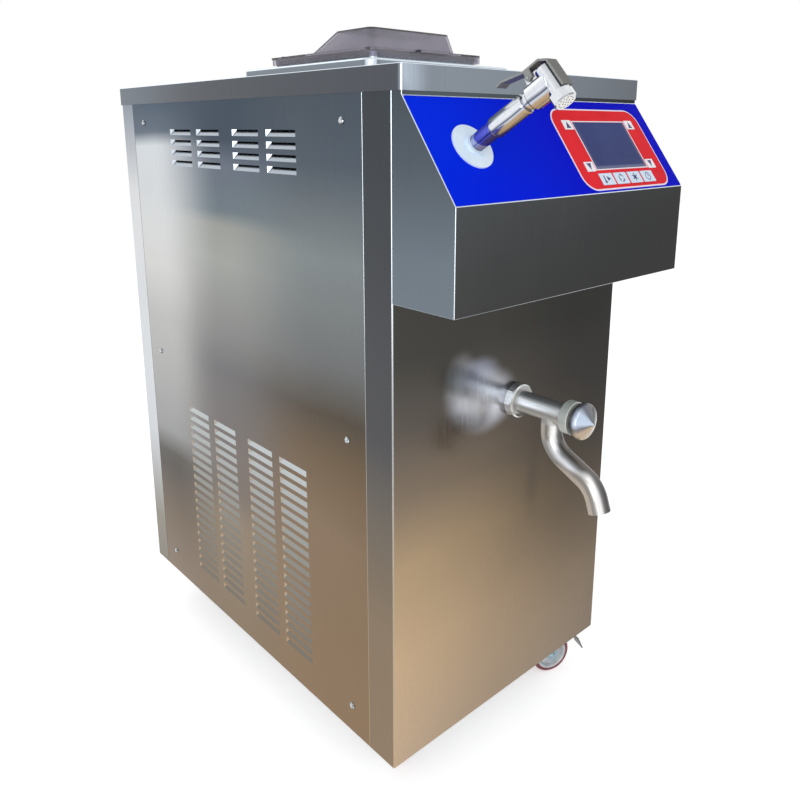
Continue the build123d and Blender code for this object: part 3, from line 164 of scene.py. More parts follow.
class Finish:
    """A node material that is built up step by step from the object's own coordinates."""

    def __init__(self, name, metallic=0.0, roughness=0.5, **sockets):
        self.material = bpy.data.materials.new(name)
        self.material.use_nodes = True
        self.tree = self.material.node_tree
        self.tree.nodes.clear()
        output = self.node("ShaderNodeOutputMaterial")
        self.shader = self.node("ShaderNodeBsdfPrincipled")
        self.shader.inputs["Metallic"].default_value = metallic
        self.shader.inputs["Roughness"].default_value = roughness
        for label, value in sockets.items():
            self.shader.inputs[label.replace("_", " ")].default_value = value
        self.tree.links.new(self.shader.outputs["BSDF"], output.inputs["Surface"])
        self.place = self.node("ShaderNodeTexCoord")

    def node(self, kind, **settings):
        made = self.tree.nodes.new(kind)
        for label, value in settings.items():
            setattr(made, label, value)
        return made

    def feed(self, socket, value):
        if isinstance(value, bpy.types.NodeSocket):
            self.tree.links.new(value, socket)
        else:
            socket.default_value = value

    def part(self, vector, letter):
        split = self.node("ShaderNodeSeparateXYZ")
        self.feed(split.inputs[0], vector)
        return split.outputs[letter]

    def at(self, letter):
        return self.part(self.place.outputs["Object"], letter)

    def facing(self, letter):
        return self.part(self.place.outputs["Normal"], letter)

    def toward(self, direction):
        """How much the surface faces a direction, from -1 to 1."""
        dot = self.node("ShaderNodeVectorMath", operation="DOT_PRODUCT")
        self.feed(dot.inputs[0], self.place.outputs["Normal"])
        dot.inputs[1].default_value = Vector(direction).normalized()
        return dot.outputs["Value"]

    def math(self, operation, first, second=0.0):
        made = self.node("ShaderNodeMath", operation=operation)
        self.feed(made.inputs[0], first)
        self.feed(made.inputs[1], second)
        return made.outputs[0]

    def span(self, value, low, high, start=0.0, end=1.0, soft=False):
        made = self.node("ShaderNodeMapRange", interpolation_type="SMOOTHSTEP" if soft else "LINEAR")
        self.feed(made.inputs["Value"], value)
        for label, number in zip(("From Min", "From Max", "To Min", "To Max"), (low, high, start, end)):
            made.inputs[label].default_value = number
        return made.outputs["Result"]

    def ramp(self, value, stops, low=0.0, high=1.0):
        made = self.node("ShaderNodeValToRGB")
        points = made.color_ramp.elements
        while len(points) < len(stops):
            points.new(0.5)
        for point, (place, colour) in zip(points, stops):
            point.position = (place - low) / (high - low)
            point.color = colour
        self.feed(made.inputs["Fac"], self.span(value, low, high))
        return made.outputs["Color"]

    def mix(self, factor, first, second, blend="MIX"):
        made = self.node("ShaderNodeMix", data_type="RGBA", blend_type=blend)
        self.feed(made.inputs[0], factor)
        self.feed(made.inputs[6], first)
        self.feed(made.inputs[7], second)
        return made.outputs[2]

    def grey(self, value):
        made = self.node("ShaderNodeCombineColor")
        for index in range(3):
            self.feed(made.inputs[index], value)
        return made.outputs[0]

    def noise(self, scale, detail=2.0, stretch=(1, 1, 1)):
        mapping = self.node("ShaderNodeMapping")
        self.feed(mapping.inputs["Vector"], self.place.outputs["Object"])
        mapping.inputs["Scale"].default_value = stretch
        made = self.node("ShaderNodeTexNoise")
        self.feed(made.inputs["Vector"], mapping.outputs[0])
        made.inputs["Scale"].default_value = scale
        made.inputs["Detail"].default_value = detail
        return made.outputs["Fac"]

    def waver(self, amount, scale, detail=2.0, stretch=(1, 1, 1)):
        """A noise about zero, as strong as the amount given."""
        return self.math("MULTIPLY", self.math("SUBTRACT", self.noise(scale, detail, stretch), 0.5), amount)

    def cloud(self, centre, radii, ragged=0.0):
        """A factor that is 1 at a point of the object and fades to 0 at the radii given."""
        shift = self.node("ShaderNodeMapping")
        self.feed(shift.inputs["Vector"], self.place.outputs["Object"])
        shift.inputs["Location"].default_value = [-c / r for c, r in zip(centre, radii)]
        shift.inputs["Scale"].default_value = [1 / r for r in radii]
        length = self.node("ShaderNodeVectorMath", operation="LENGTH")
        self.feed(length.inputs[0], shift.outputs[0])
        reach = length.outputs["Value"]
        if ragged:
            reach = self.math("ADD", reach, self.waver(ragged, 9.0, 3.0, (1, 1, 2.2)))
        return self.span(reach, 1.0, 0.0, soft=True)

    def colour(self, value):
        self.feed(self.shader.inputs["Base Color"], value)

    def rough(self, value):
        self.feed(self.shader.inputs["Roughness"], value)

    def bump(self, height, strength, distance):
        made = self.node("ShaderNodeBump")
        made.inputs["Strength"].default_value = strength
        made.inputs["Distance"].default_value = distance
        self.feed(made.inputs["Height"], height)
        self.feed(self.shader.inputs["Normal"], made.outputs[0])


def brush(finish, base, grain, amount=0.10, smudge=0.10):
    """Fine brushing and faint handling marks over a base colour, also in gloss and relief."""
    streak = finish.noise(60.0, 4.0, grain)
    patch = finish.noise(5.0, 3.0)
    shade = finish.span(streak, *MIDDLE, 1 - amount, 1 + amount)
    shade = finish.math("MULTIPLY", shade, finish.span(patch, *MIDDLE, 1 - smudge, 1 + smudge))
    finish.colour(finish.mix(1.0, base, finish.grey(shade), "MULTIPLY"))
    gloss = finish.shader.inputs["Roughness"].default_value
    uneven = finish.math("ADD", finish.span(streak, *MIDDLE, gloss - 0.05, gloss + 0.05),
                         finish.span(patch, *MIDDLE, -0.03, 0.05))
    finish.rough(uneven)
    finish.bump(streak, 0.03, 0.0003)
    return finish.material


def sheet_steel(name, front, side, further=(), clouds=(), across=(1.0, 1.0), folds=("XY",)):
    """Satin sheet with painted reflections as its tones by height, apart for the faces to the front and to the
    sides, and painted highlights on the folds.

    Further tones are painted reflections that take over along the depth, clouds are soft patches of painted
    highlight and painted shade, and across gives how bright the left and the right edge of the front faces are,
    as painted shade.
    """
    finish = Finish(name, metallic=1.0, roughness=SHEET_ROUGHNESS)
    sway = finish.waver(1.0, 3.0, 2.0, (1, 1, 0.6))
    height = finish.math("ADD", finish.at("Z"), finish.math("MULTIPLY", sway, SWAY_UP))
    ahead = finish.ramp(height, front, FOOT, TOP)
    # Painted shade from the left edge of the front faces towards the right.
    painted_shade_across = finish.span(finish.at("X"), -HALF_WIDTH, HALF_WIDTH, across[0], across[1])
    ahead = finish.mix(1.0, ahead, finish.grey(painted_shade_across), "MULTIPLY")
    beside = finish.ramp(height, side, FOOT, TOP)
    along = finish.math("ADD", finish.at("Y"), finish.math("MULTIPLY", sway, SWAY_ALONG))
    # Painted reflections that take over along the depth.
    for start, end, tones in further:
        beyond = finish.ramp(height, tones, FOOT, TOP)
        beside = finish.mix(finish.span(along, start, end, soft=True), beside, beyond)
    # Painted highlights and painted shade as soft patches.
    for centre, radii, colour, strength, ragged in clouds:
        patch = finish.math("MULTIPLY", finish.cloud(centre, radii, ragged), strength)
        ahead = finish.mix(patch, ahead, colour)
        beside = finish.mix(patch, beside, colour)
    facing = {letter: finish.math("ABSOLUTE", finish.facing(letter)) for letter in "XYZ"}
    upward = finish.facing("Z")
    base = finish.mix(finish.span(facing["X"], *SIDEWAYS), ahead, beside)
    # Painted highlight on the faces that turn up.
    base = finish.mix(finish.span(upward, *UPWARDS), base, UPWARD_TONE)
    # Painted highlight on the louvre flaps.
    flap_highlight = finish.math("MULTIPLY", finish.span(upward, *FLAP_LEAST), finish.span(upward, *FLAP_MOST))
    flap_highlight = finish.math("MULTIPLY", flap_highlight, finish.span(facing["X"], *FLAP_SIDEWAYS))
    base = finish.mix(flap_highlight, base, finish.ramp(height, FLAP_TONES, FOOT, TOP))
    # Painted highlights along the folds.
    for first, second in folds:
        fold_highlight = finish.span(finish.math("MINIMUM", facing[first], facing[second]), *BEND, soft=True)
        base = finish.mix(fold_highlight, base, finish.ramp(height, FOLD_TONES, FOOT, TOP))
    return brush(finish, base, SHEET_GRAIN, 0.022, 0.035)


def banded(name, direction, stops, roughness, amount=0.04, cloud=None, metallic=1.0, **sockets):
    """Polished metal with painted reflections: its tone follows the way that each spot of its surface faces, and
    a cloud, when given, adds a painted reflection patch.
    """
    finish = Finish(name, metallic=metallic, roughness=roughness, **sockets)
    turn = finish.math("ADD", finish.toward(direction), finish.waver(0.16, 28.0))
    base = finish.ramp(turn, stops, -1.0, 1.0)
    if cloud:
        centre, radii, colour = cloud
        base = finish.mix(finish.cloud(centre, radii), base, colour)
    return brush(finish, base, FINE_GRAIN, amount, amount)


def plastic(name, colour, second, roughness, **sockets):
    """Moulded or printed plastic with a faint mottle between two tones."""
    finish = Finish(name, roughness=roughness, **sockets)
    mottle = finish.noise(120.0, 4.0)
    wide = finish.noise(7.0)
    base = finish.mix(finish.span(mottle, 0.35, 0.65, 0.0, 0.5), colour, second)
    base = finish.mix(finish.span(wide, 0.4, 0.7, 0.0, 0.5), base, second)
    finish.colour(base)
    finish.rough(finish.span(wide, *MIDDLE, roughness - 0.04, roughness + 0.06))
    finish.bump(mottle, 0.05, 0.0003)
    return finish.material


def worn_paint(name, colour, bare, roughness=0.45):
    """Paint with a fine orange peel and small rubbed spots."""
    finish = Finish(name, metallic=0.2, roughness=roughness)
    peel = finish.noise(220.0)
    chips = finish.span(finish.noise(38.0, 5.0), 0.66, 0.72)
    finish.colour(finish.mix(chips, finish.mix(finish.span(peel, *MIDDLE, 0.0, 0.25), colour, bare), bare))
    finish.bump(peel, 0.12, 0.0004)
    return finish.material


# Painted reflections on the sheets: their tones by height, in metres, as they would reflect a dark room over a
# brown floor. The upward, flap and fold tones are painted highlights on faces that turn up and along the folds.
UPWARD_TONE = tone(150, 155, 160)
FRONT_TONES = [
    (FOOT, tone(178, 156, 131)), (0.27, tone(184, 158, 127)), (0.42, tone(164, 141, 111)),
    (0.52, tone(122, 108, 92)), (0.62, tone(90, 84, 78)), (0.72, tone(66, 65, 61)), (TOP, tone(58, 58, 57)),
]
POST_TONES = [
    (FOOT, tone(129, 109, 86)), (0.32, tone(127, 110, 90)), (0.48, tone(104, 97, 88)),
    (0.60, tone(78, 78, 80)), (TOP, tone(68, 73, 78)),
]
SIDE_TONES = [
    (FOOT, tone(130, 104, 74)), (0.42, tone(124, 104, 82)), (0.54, tone(102, 85, 65)),
    (0.61, tone(78, 70, 60)), (0.69, tone(104, 106, 107)), (0.84, tone(124, 131, 132)),
    (0.97, tone(85, 95, 105)), (TOP, tone(74, 84, 94)),
]
MID_SIDE_TONES = [
    (FOOT, tone(124, 103, 74)), (0.31, tone(130, 114, 94)), (0.38, tone(107, 97, 90)),
    (0.60, tone(102, 101, 103)), (0.80, tone(154, 156, 152)), (0.86, tone(148, 150, 145)),
    (0.885, tone(102, 115, 123)), (0.96, tone(101, 111, 125)), (1.0, tone(56, 71, 87)),
    (TOP, tone(58, 72, 88)),
]
FAR_SIDE_TONES = [
    (FOOT, tone(117, 97, 75)), (0.24, tone(92, 74, 52)), (0.34, tone(56, 48, 40)), (0.37, tone(62, 58, 50)),
    (0.42, tone(136, 137, 137)), (0.66, tone(175, 175, 173)), (0.76, tone(204, 204, 202)),
    (0.985, tone(211, 216, 221)), (1.01, tone(88, 102, 118)), (TOP, tone(42, 64, 88)),
]
STRIP_TONES = [
    (FOOT, tone(114, 108, 95)), (0.2, tone(126, 120, 108)), (0.4, tone(190, 194, 199)),
    (0.9, tone(216, 218, 220)), (TOP, tone(120, 132, 148)),
]
FLAP_TONES = [
    (FOOT, tone(120, 112, 100)), (0.30, tone(140, 136, 128)), (0.42, tone(174, 177, 175)),
    (0.52, tone(204, 210, 213)), (0.80, tone(150, 158, 166)), (TOP, tone(146, 154, 164)),
]
FOLD_TONES = [
    (FOOT, tone(176, 156, 130)), (0.40, tone(158, 146, 130)), (0.60, tone(150, 150, 150)),
    (0.90, tone(190, 198, 206)), (TOP, tone(212, 222, 232)),
]
BACK_TONES = [(FOOT, tone(140, 126, 108)), (0.5, tone(128, 126, 122)), (TOP, tone(120, 126, 132))]
HOOD_TONES = [
    (FOOT, tone(64, 65, 65)), (0.80, tone(64, 65, 64)), (0.93, tone(74, 77, 79)), (TOP, tone(84, 92, 99)),
]
HOOD_SIDE_TONES = [
    (FOOT, tone(112, 123, 130)), (0.86, tone(109, 119, 128)), (0.98, tone(86, 95, 104)),
    (TOP, tone(74, 82, 89)),
]
RIM_TONES = [(FOOT, tone(128, 136, 145)), (TOP, tone(128, 136, 145))]
RIM_SIDE_TONES = [(FOOT, tone(86, 90, 96)), (TOP, tone(86, 90, 96))]


def sheet_finishes():
    """The satin sheets of the cabinet, each with the painted reflection tones of the faces it shows."""
    # Painted shade: two dark patches on the right of the front faces and a dark streak below the tap.
    painted_shade = [
        ((0.25, FRONT, 0.58), (0.36, 0.2, 0.42), tone(4, 4, 4), 0.68, 0.1),
        ((0.12, FRONT, 0.40), (0.36, 0.2, 0.32), tone(4, 4, 4), 0.34, 0.1),
        ((0.05, FRONT, 0.47), (0.03, 0.2, 0.10), tone(66, 58, 50), 0.4, 0.3),
    ]
    # Painted reflection of the tap and its collar: bright patches left of the tap.
    painted_glare = [
        ((-0.122, FRONT, 0.655), (0.042, 0.2, 0.066), tone(176, 178, 185), 0.85, 0.3),
        ((-0.090, FRONT, 0.668), (0.058, 0.2, 0.034), tone(168, 174, 192), 0.8, 0.3),
        ((-0.068, FRONT, 0.624), (0.078, 0.2, 0.056), tone(230, 234, 244), 1.0, 0.15),
    ]
    # Painted reflections that take over towards the rear of the side panels.
    back = ((-0.12, 0.13, MID_SIDE_TONES), (0.13, 0.36, FAR_SIDE_TONES))
    # Painted highlights on the rim: at its front left corner and towards the rear.
    painted_rim_corner_highlight = ((-HALF_WIDTH, FRONT - 0.02, TOP - 0.015), (0.05, 0.008, 0.08), tone(182, 193, 207), 0.85,
                  0.0)
    painted_rim_far_highlight = ((-HALF_WIDTH, REAR, TOP - 0.015), (0.1, 0.35, 0.1), tone(112, 122, 132), 0.8, 0.2)
    # Kinds of fold that get painted highlights.
    highlighted_folds = ("XY", "XZ", "YZ")
    # The across pairs paint shade towards the right of the front faces.
    return {
        "front_shell": sheet_steel("satin_front", FRONT_TONES, POST_TONES, (), painted_shade + painted_glare, (1.0, 0.37)),
        "rear_shell": sheet_steel("satin_back", BACK_TONES, STRIP_TONES),
        "left_side_panel": sheet_steel("satin_left", FRONT_TONES, SIDE_TONES, back),
        "right_side_panel": sheet_steel("satin_right", FRONT_TONES, SIDE_TONES, back),
        "control_hood": sheet_steel("satin_hood", HOOD_TONES, HOOD_SIDE_TONES, across=(0.95, 0.0), folds=highlighted_folds),
        "top_cover": sheet_steel("satin_rim", RIM_TONES, RIM_SIDE_TONES, clouds=(painted_rim_corner_highlight, painted_rim_far_highlight),
                                 across=(1.0, 0.4), folds=highlighted_folds),
        "tank_collar": sheet_steel("satin_collar", RIM_TONES, RIM_TONES, folds=highlighted_folds),
        "tank_vessel": sheet_steel("satin_tank", BACK_TONES, BACK_TONES, folds=()),
        "cooling_jacket": sheet_steel("satin_jacket", BACK_TONES, BACK_TONES, folds=()),
    }


# Painted reflections on the fittings: their tones by how much a spot faces their finish's direction, and the
# knob's by degrees round its axis.
TAP_STOPS = [
    (-1.0, tone(176, 180, 180)), (-0.72, tone(226, 230, 232)), (-0.45, tone(150, 155, 158)),
    (-0.2, tone(104, 106, 108)), (0.02, tone(214, 219, 224)), (0.28, tone(146, 151, 157)),
    (0.5, tone(78, 76, 74)), (0.75, tone(122, 110, 95)), (1.0, tone(166, 144, 116)),
]
SPOUT_STOPS = [
    (-1.0, tone(252, 246, 236)), (-0.8, tone(230, 223, 214)), (-0.5, tone(134, 128, 122)),
    (-0.34, tone(136, 132, 126)), (-0.12, tone(208, 206, 202)), (0.15, tone(252, 252, 250)),
    (0.3, tone(230, 228, 228)), (0.5, tone(122, 121, 121)), (0.8, tone(62, 59, 56)),
    (1.0, tone(54, 51, 47)),
]
ELBOW_STOPS = [
    (-1.0, tone(86, 76, 67)), (-0.3, tone(104, 98, 92)), (0.05, tone(90, 88, 85)),
    (0.3, tone(132, 133, 137)), (0.6, tone(232, 236, 241)), (0.75, tone(200, 200, 202)),
    (1.0, tone(104, 104, 106)),
]
BARREL_STOPS = [
    (-1.0, tone(90, 84, 76)), (-0.86, tone(104, 98, 89)), (-0.56, tone(206, 204, 200)),
    (-0.24, tone(164, 163, 160)), (0.0, tone(205, 208, 210)), (0.2, tone(210, 215, 219)),
    (0.38, tone(246, 252, 255)), (0.7, tone(130, 134, 138)), (1.0, tone(108, 108, 108)),
]
CHROME_STOPS = [
    (-1.0, tone(150, 155, 165)), (-0.7, tone(235, 238, 242)), (-0.4, tone(214, 219, 228)),
    (-0.2, tone(60, 64, 78)), (-0.08, tone(180, 190, 205)), (0.1, tone(172, 148, 118)),
    (0.55, tone(160, 136, 106)), (0.8, tone(110, 92, 74)), (1.0, tone(210, 200, 186)),
]
NOZZLE_STOPS = [
    (-1.0, tone(206, 211, 218)), (-0.5, tone(244, 247, 250)), (-0.1, tone(150, 153, 158)),
    (0.3, tone(232, 233, 234)), (0.7, tone(206, 203, 198)), (1.0, tone(168, 162, 154)),
]
LEVER_STOPS = [
    (-1.0, tone(122, 123, 122)), (-0.6, tone(146, 148, 146)), (-0.2, tone(104, 104, 101)),
    (0.1, tone(90, 90, 88)), (0.5, tone(98, 98, 96)), (1.0, tone(116, 114, 108)),
]
KNOB_STOPS = [
    (-180, tone(188, 168, 142)), (-140, tone(150, 132, 110)), (-100, tone(66, 64, 66)),
    (-35, tone(54, 56, 62)), (-20, tone(104, 104, 110)), (22, tone(108, 112, 122)),
    (45, tone(198, 212, 232)), (82, tone(198, 212, 232)), (102, tone(104, 104, 108)),
    (122, tone(180, 160, 136)), (180, tone(188, 168, 142)),
]
RING_STOPS = [
    (-1.0, tone(186, 193, 190)), (-0.5, tone(176, 183, 179)), (-0.1, tone(206, 211, 206)),
    (0.3, tone(184, 188, 182)), (1.0, tone(140, 136, 126)),
]
BRASS_STOPS = [(-1.0, tone(222, 190, 122)), (0.0, tone(190, 152, 84)), (1.0, tone(120, 88, 44))]
ZINC_STOPS = [
    (-1.0, tone(210, 222, 228)), (-0.3, tone(236, 246, 252)), (0.2, tone(150, 168, 176)),
    (0.6, tone(110, 116, 120)), (1.0, tone(168, 166, 160)),
]

# Directions that the painted reflection bands run along, and heights over the barrel's axis where those of
# the tap change.
DOWN_RIGHT = (0.52, -0.47, -0.72)
HANDLE_FACE = (0.62, -0.3, -0.72)
HEAD_FACE = (0.55, 0.1, -0.83)
SPOUT_FACE = (0.60, -0.76, 0.24)
ELBOW_FACE = (-0.82, -0.24, -0.53)
BARREL_FACE = (0.164, 0.305, 0.938)
BARREL_FOOT = (-0.0145, -0.0185)
ELBOW_HEAD = (-0.036, -0.044)
ELBOW_FOOT = (-0.078, -0.068)


def tap_finish():
    """Bright polished tube with painted reflection bands along the barrel and, below it, round the bends of the
    spout.
    """
    finish = Finish("polished_tap", metallic=0.3, roughness=0.2)
    waver = finish.waver(0.07, 28.0)
    height = finish.math("SUBTRACT", finish.at("Z"), TAP.z)

    def bands(direction, stops):
        return finish.ramp(finish.math("ADD", finish.toward(direction), waver), stops, -1.0, 1.0)

    spout = bands(SPOUT_FACE, SPOUT_STOPS)
    elbow = finish.math("MULTIPLY", finish.span(height, *ELBOW_FOOT, soft=True),
                        finish.span(height, *ELBOW_HEAD, soft=True))
    spout = finish.mix(elbow, spout, bands(ELBOW_FACE, ELBOW_STOPS))
    below = finish.span(height, *BARREL_FOOT)
    base = finish.mix(below, bands(BARREL_FACE, BARREL_STOPS), spout)
    return brush(finish, base, FINE_GRAIN, 0.03, 0.03)


def knob_finish():
    """Polished cone whose painted reflection bands run out from its tip."""
    finish = Finish("polished_knob", metallic=0.3, roughness=0.14)
    left = finish.math("MULTIPLY", finish.facing("X"), -1.0)
    turn = finish.math("MULTIPLY", finish.math("ARCTAN2", left, finish.facing("Z")), 180 / pi)
    turn = finish.math("ADD", turn, finish.waver(14.0, 60.0))
    bands = finish.ramp(turn, KNOB_STOPS, -180, 180)
    ahead = finish.math("MULTIPLY", finish.facing("Y"), -1.0)
    # Painted shade on the faces that turn back towards the panel.
    base = finish.mix(finish.span(ahead, 0.05, -0.35, soft=True), bands, tone(84, 86, 92))
    # Painted highlight on the tip.
    base = finish.mix(finish.span(ahead, 0.955, 0.99, soft=True), base, tone(232, 236, 242))
    return brush(finish, base, FINE_GRAIN, 0.02, 0.03)


def metal_finishes():
    """The polished and plated fittings."""
    # Painted reflection of the blue film on the spray handle.
    painted_blue_reflection = (SPRAY_FOOT + SPRAY_AXIS * 0.014, (0.022, 0.022, 0.022), tone(96, 110, 190))
    tap = tap_finish()
    chrome = banded("chrome_handle", HANDLE_FACE, CHROME_STOPS, 0.08, cloud=painted_blue_reflection, metallic=0.85)
    head = banded("chrome_head", HEAD_FACE, CHROME_STOPS, 0.08, metallic=0.95)
    nozzle = banded("chrome_nozzle", HEAD_FACE, NOZZLE_STOPS, 0.1, metallic=0.9)
    zinc = banded("plated_zinc", DOWN_RIGHT, ZINC_STOPS, 0.3)
    rod = banded("turned_rod", DOWN_RIGHT, TAP_STOPS, 0.2)
    return {
        "tap_body": tap,
        "tap_collar_nut": tap,
        "tap_plunger": rod,
        "tap_ring_nut": banded("matt_ring", DOWN_RIGHT, RING_STOPS, 0.4, metallic=0.25),
        "tap_knob": knob_finish(),
        "spray_handle": chrome,
        "spray_head": head,
        "spray_nozzle": nozzle,
        "spray_trigger": banded("dark_lever", HANDLE_FACE, LEVER_STOPS, 0.4, metallic=0.1,
                                Specular_IOR_Level=0.15),
        "trigger_pin": rod,
        "panel_screws": banded("screw_heads", (0, 0, -1), TAP_STOPS, 0.25),
        "lid_hinge": rod,
        "agitator_shaft": rod,
        "agitator_paddle": rod,
        "caster_plates": zinc,
        **{f"caster_fork_{corner}": zinc for corner in CORNERS},
        "water_inlet": banded("cast_brass", DOWN_RIGHT, BRASS_STOPS, 0.3),
    }


def film_blue():
    """Glossy blue film with painted shade: lighter towards the upper left and darker in a patch low on the left.
    """
    finish = Finish("blue_film", roughness=0.3, Specular_IOR_Level=0.01, Specular_Tint=tone(20, 60, 255))
    # Painted shade from the left of the film towards the right.
    along = finish.span(finish.at("X"), -HALF_WIDTH, 0.1, soft=True)
    base = finish.mix(along, tone(4, 47, 240), tone(0, 8, 207))
    # A painted patch of shade low on the left, near the knee.
    low = finish.cloud((-0.16, KNEE.y, KNEE.z), (0.16, 0.1, 0.08), 0.3)
    base = finish.mix(finish.math("MULTIPLY", low, 0.6), base, tone(4, 30, 232))
    peel = finish.noise(420.0)
    finish.colour(finish.mix(finish.span(peel, 0.35, 0.65, 0.0, 0.12), base, tone(0, 8, 180)))
    finish.bump(peel, 0.03, 0.0002)
    return finish.material


def film_red():
    """Matt red membrane with a faint mottle."""
    finish = Finish("red_membrane", roughness=0.4, Specular_IOR_Level=0.02, Specular_Tint=tone(255, 60, 60))
    wide = finish.noise(16.0, 3.0)
    fine = finish.noise(500.0)
    base = finish.mix(finish.span(wide, *MIDDLE), tone(243, 46, 56), tone(228, 38, 50))
    finish.colour(finish.mix(finish.span(fine, 0.4, 0.6, 0.0, 0.1), base, tone(246, 80, 82)))
    finish.bump(fine, 0.04, 0.0002)
    return finish.material


def screen_glass():
    """The unlit screen, grey-blue with a paler edge."""
    finish = Finish("screen_glass", roughness=0.3, Specular_IOR_Level=0.02, Specular_Tint=tone(110, 130, 200))
    across = finish.math("ABSOLUTE", finish.math("SUBTRACT", finish.at("X"), KEYPAD_X))
    middle = LIP.z - SLOPE_UP.z * SCREEN_DOWN
    climb = finish.math("SUBTRACT", finish.at("Z"), middle)
    base = finish.mix(finish.span(climb, -0.030, 0.032, soft=True), tone(62, 72, 120), tone(62, 74, 126))
    pale_foot = finish.span(climb, -0.0262, -0.0285, soft=True)
    base = finish.mix(pale_foot, base, tone(112, 120, 152))
    pale_side = finish.span(across, 0.058, 0.0635, soft=True)
    base = finish.mix(finish.math("MULTIPLY", pale_side, 0.5), base, tone(128, 132, 160))
    haze = finish.noise(22.0, 3.0)
    finish.colour(finish.mix(finish.span(haze, 0.45, 0.75, 0.0, 0.25), base, tone(82, 92, 138)))
    finish.rough(finish.span(haze, *MIDDLE, 0.2, 0.32))
    return finish.material


def clear_plastic():
    """Smoked clear plastic, faintly scuffed."""
    finish = Finish("clear_lid", roughness=0.08, IOR=1.45, Transmission_Weight=0.92)
    scuff = finish.noise(90.0, 5.0, (1, 6, 1))
    haze = finish.noise(6.0)
    finish.colour(finish.mix(finish.span(haze, *MIDDLE), tone(176, 172, 184), tone(196, 194, 204)))
    finish.rough(finish.span(scuff, 0.45, 0.8, 0.05, 0.3))
    finish.bump(scuff, 0.04, 0.0003)
    return finish.material


def wheel_finish(corner):
    """Red tyre and pale core on one node, told apart by the distance from the axle."""
    joint = JOINTS[f"wheel_turn_{corner}"]
    finish = Finish(f"wheel_{corner}", roughness=0.4)
    offset = finish.node("ShaderNodeVectorMath", operation="SUBTRACT")
    finish.feed(offset.inputs[0], finish.place.outputs["Object"])
    offset.inputs[1].default_value = joint["pos_m"]
    turn = finish.node("ShaderNodeVectorMath", operation="CROSS_PRODUCT")
    finish.feed(turn.inputs[0], offset.outputs[0])
    turn.inputs[1].default_value = joint["axis"]
    length = finish.node("ShaderNodeVectorMath", operation="LENGTH")
    finish.feed(length.inputs[0], turn.outputs[0])
    reach = length.outputs["Value"]
    mottle = finish.noise(60.0, 4.0)
    red = finish.mix(finish.span(mottle, *MIDDLE), tone(140, 52, 62), tone(112, 46, 62))
    pale = finish.mix(finish.span(mottle, *MIDDLE), tone(226, 230, 232), tone(196, 202, 206))
    finish.colour(finish.mix(finish.span(reach, *WHEEL_CORE_EDGE), pale, red))
    finish.rough(finish.span(mottle, *MIDDLE, 0.35, 0.5))
    finish.bump(mottle, 0.06, 0.0003)
    return finish.material


def other_finishes():
    """Plastics, rubber and the painted parts inside."""
    motor = worn_paint("motor_enamel", tone(44, 48, 54), tone(70, 74, 80))
    frame_paint = worn_paint("frame_zinc", tone(150, 152, 154), tone(120, 122, 124), 0.4)
    rubber = plastic("seal_rubber", tone(206, 204, 198), tone(188, 186, 180), 0.6)
    white_key = plastic("white_keys", tone(252, 251, 255), tone(238, 238, 248), 0.35)
    pale_key = plastic("pale_keys", tone(222, 238, 255), tone(206, 226, 250), 0.35)
    return {
        "base_chassis": frame_paint,
        "frame_posts": frame_paint,
        "heater_ring": frame_paint,
        "agitator_motor": motor,
        "compressor": motor,
        "fan_motor": motor,
        "condenser": brush(Finish("fin_metal", metallic=1.0, roughness=0.35), tone(190, 194, 198), FIN_GRAIN),
        "condenser_fan": plastic("fan_black", tone(26, 26, 28), tone(38, 38, 42), 0.45),
        "shaft_seal": rubber,
        "lid_gasket": rubber,
        "tap_seals": plastic("seal_black", tone(24, 24, 26), tone(36, 36, 38), 0.55),
        "tank_lid": clear_plastic(),
        "control_overlay": film_blue(),
        "keypad_membrane": film_red(),
        "display_module": screen_glass(),
        "spray_holder": plastic("white_flange", tone(228, 244, 255), tone(212, 232, 252), 0.3,
                                Coat_Weight=0.2),
        "cable_gland": plastic("gland_black", tone(30, 30, 32), tone(42, 42, 46), 0.5),
        **{key: white_key for key in ARROW_KEYS},
        **{key: pale_key for key in FUNCTION_KEYS},
        **{f"caster_wheel_{corner}": wheel_finish(corner) for corner in CORNERS},
        **{f"brake_pedal_{corner}": worn_paint(f"pedal_{corner}", tone(66, 64, 60), tone(190, 186, 182), 0.35)
           for corner in CORNERS[:2]},
    }


def dress(node, material):
    """Put one material on every slot of a carried-over part."""
    slots = frame["nodes"][node].material_slots
    if not slots:
        frame["nodes"][node].data.materials.append(material)
    for slot in slots:
        slot.material = material


def add_piece(name, body, material, vertices, faces, smooth=False):
    """A mesh piece that rides on a body and takes its finish from a slot."""
    mesh = bpy.data.meshes.new(name)
    mesh.from_pydata([tuple(v) for v in vertices], [], faces)
    mesh.update()
    work = bmesh.new()
    work.from_mesh(mesh)
    bmesh.ops.recalc_face_normals(work, faces=work.faces)
    for face in work.faces:
        face.smooth = smooth
    work.to_mesh(mesh)
    work.free()
    piece = bpy.data.objects.new(name, mesh)
    bpy.context.scene.collection.objects.link(piece)
    mesh.materials.append(material)
    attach(piece, body)
    return piece


def on_slope(x, down, out=0.0):
    """A point of the slope, from its distance right of the middle, down from its upper edge and out of it."""
    return LIP + Vector((x, 0, 0)) - SLOPE_UP * down + SLOPE_OUT * out


def rectangle(half_x, half_y):
    """The corners of a rectangle about the middle."""
    return [(sx * half_x, sy * half_y) for sx, sy in QUADRANTS]


def rounded(half_x, half_y, radius, steps=8):
    """The outline of a rectangle with rounded corners."""
    points = []
    for corner, (x, y) in enumerate(rectangle(half_x - radius, half_y - radius)):
        for step in range(steps + 1):
            angle = (corner + step / steps) * pi / 2
            points.append((x + radius * cos(angle), y + radius * sin(angle)))
    return points


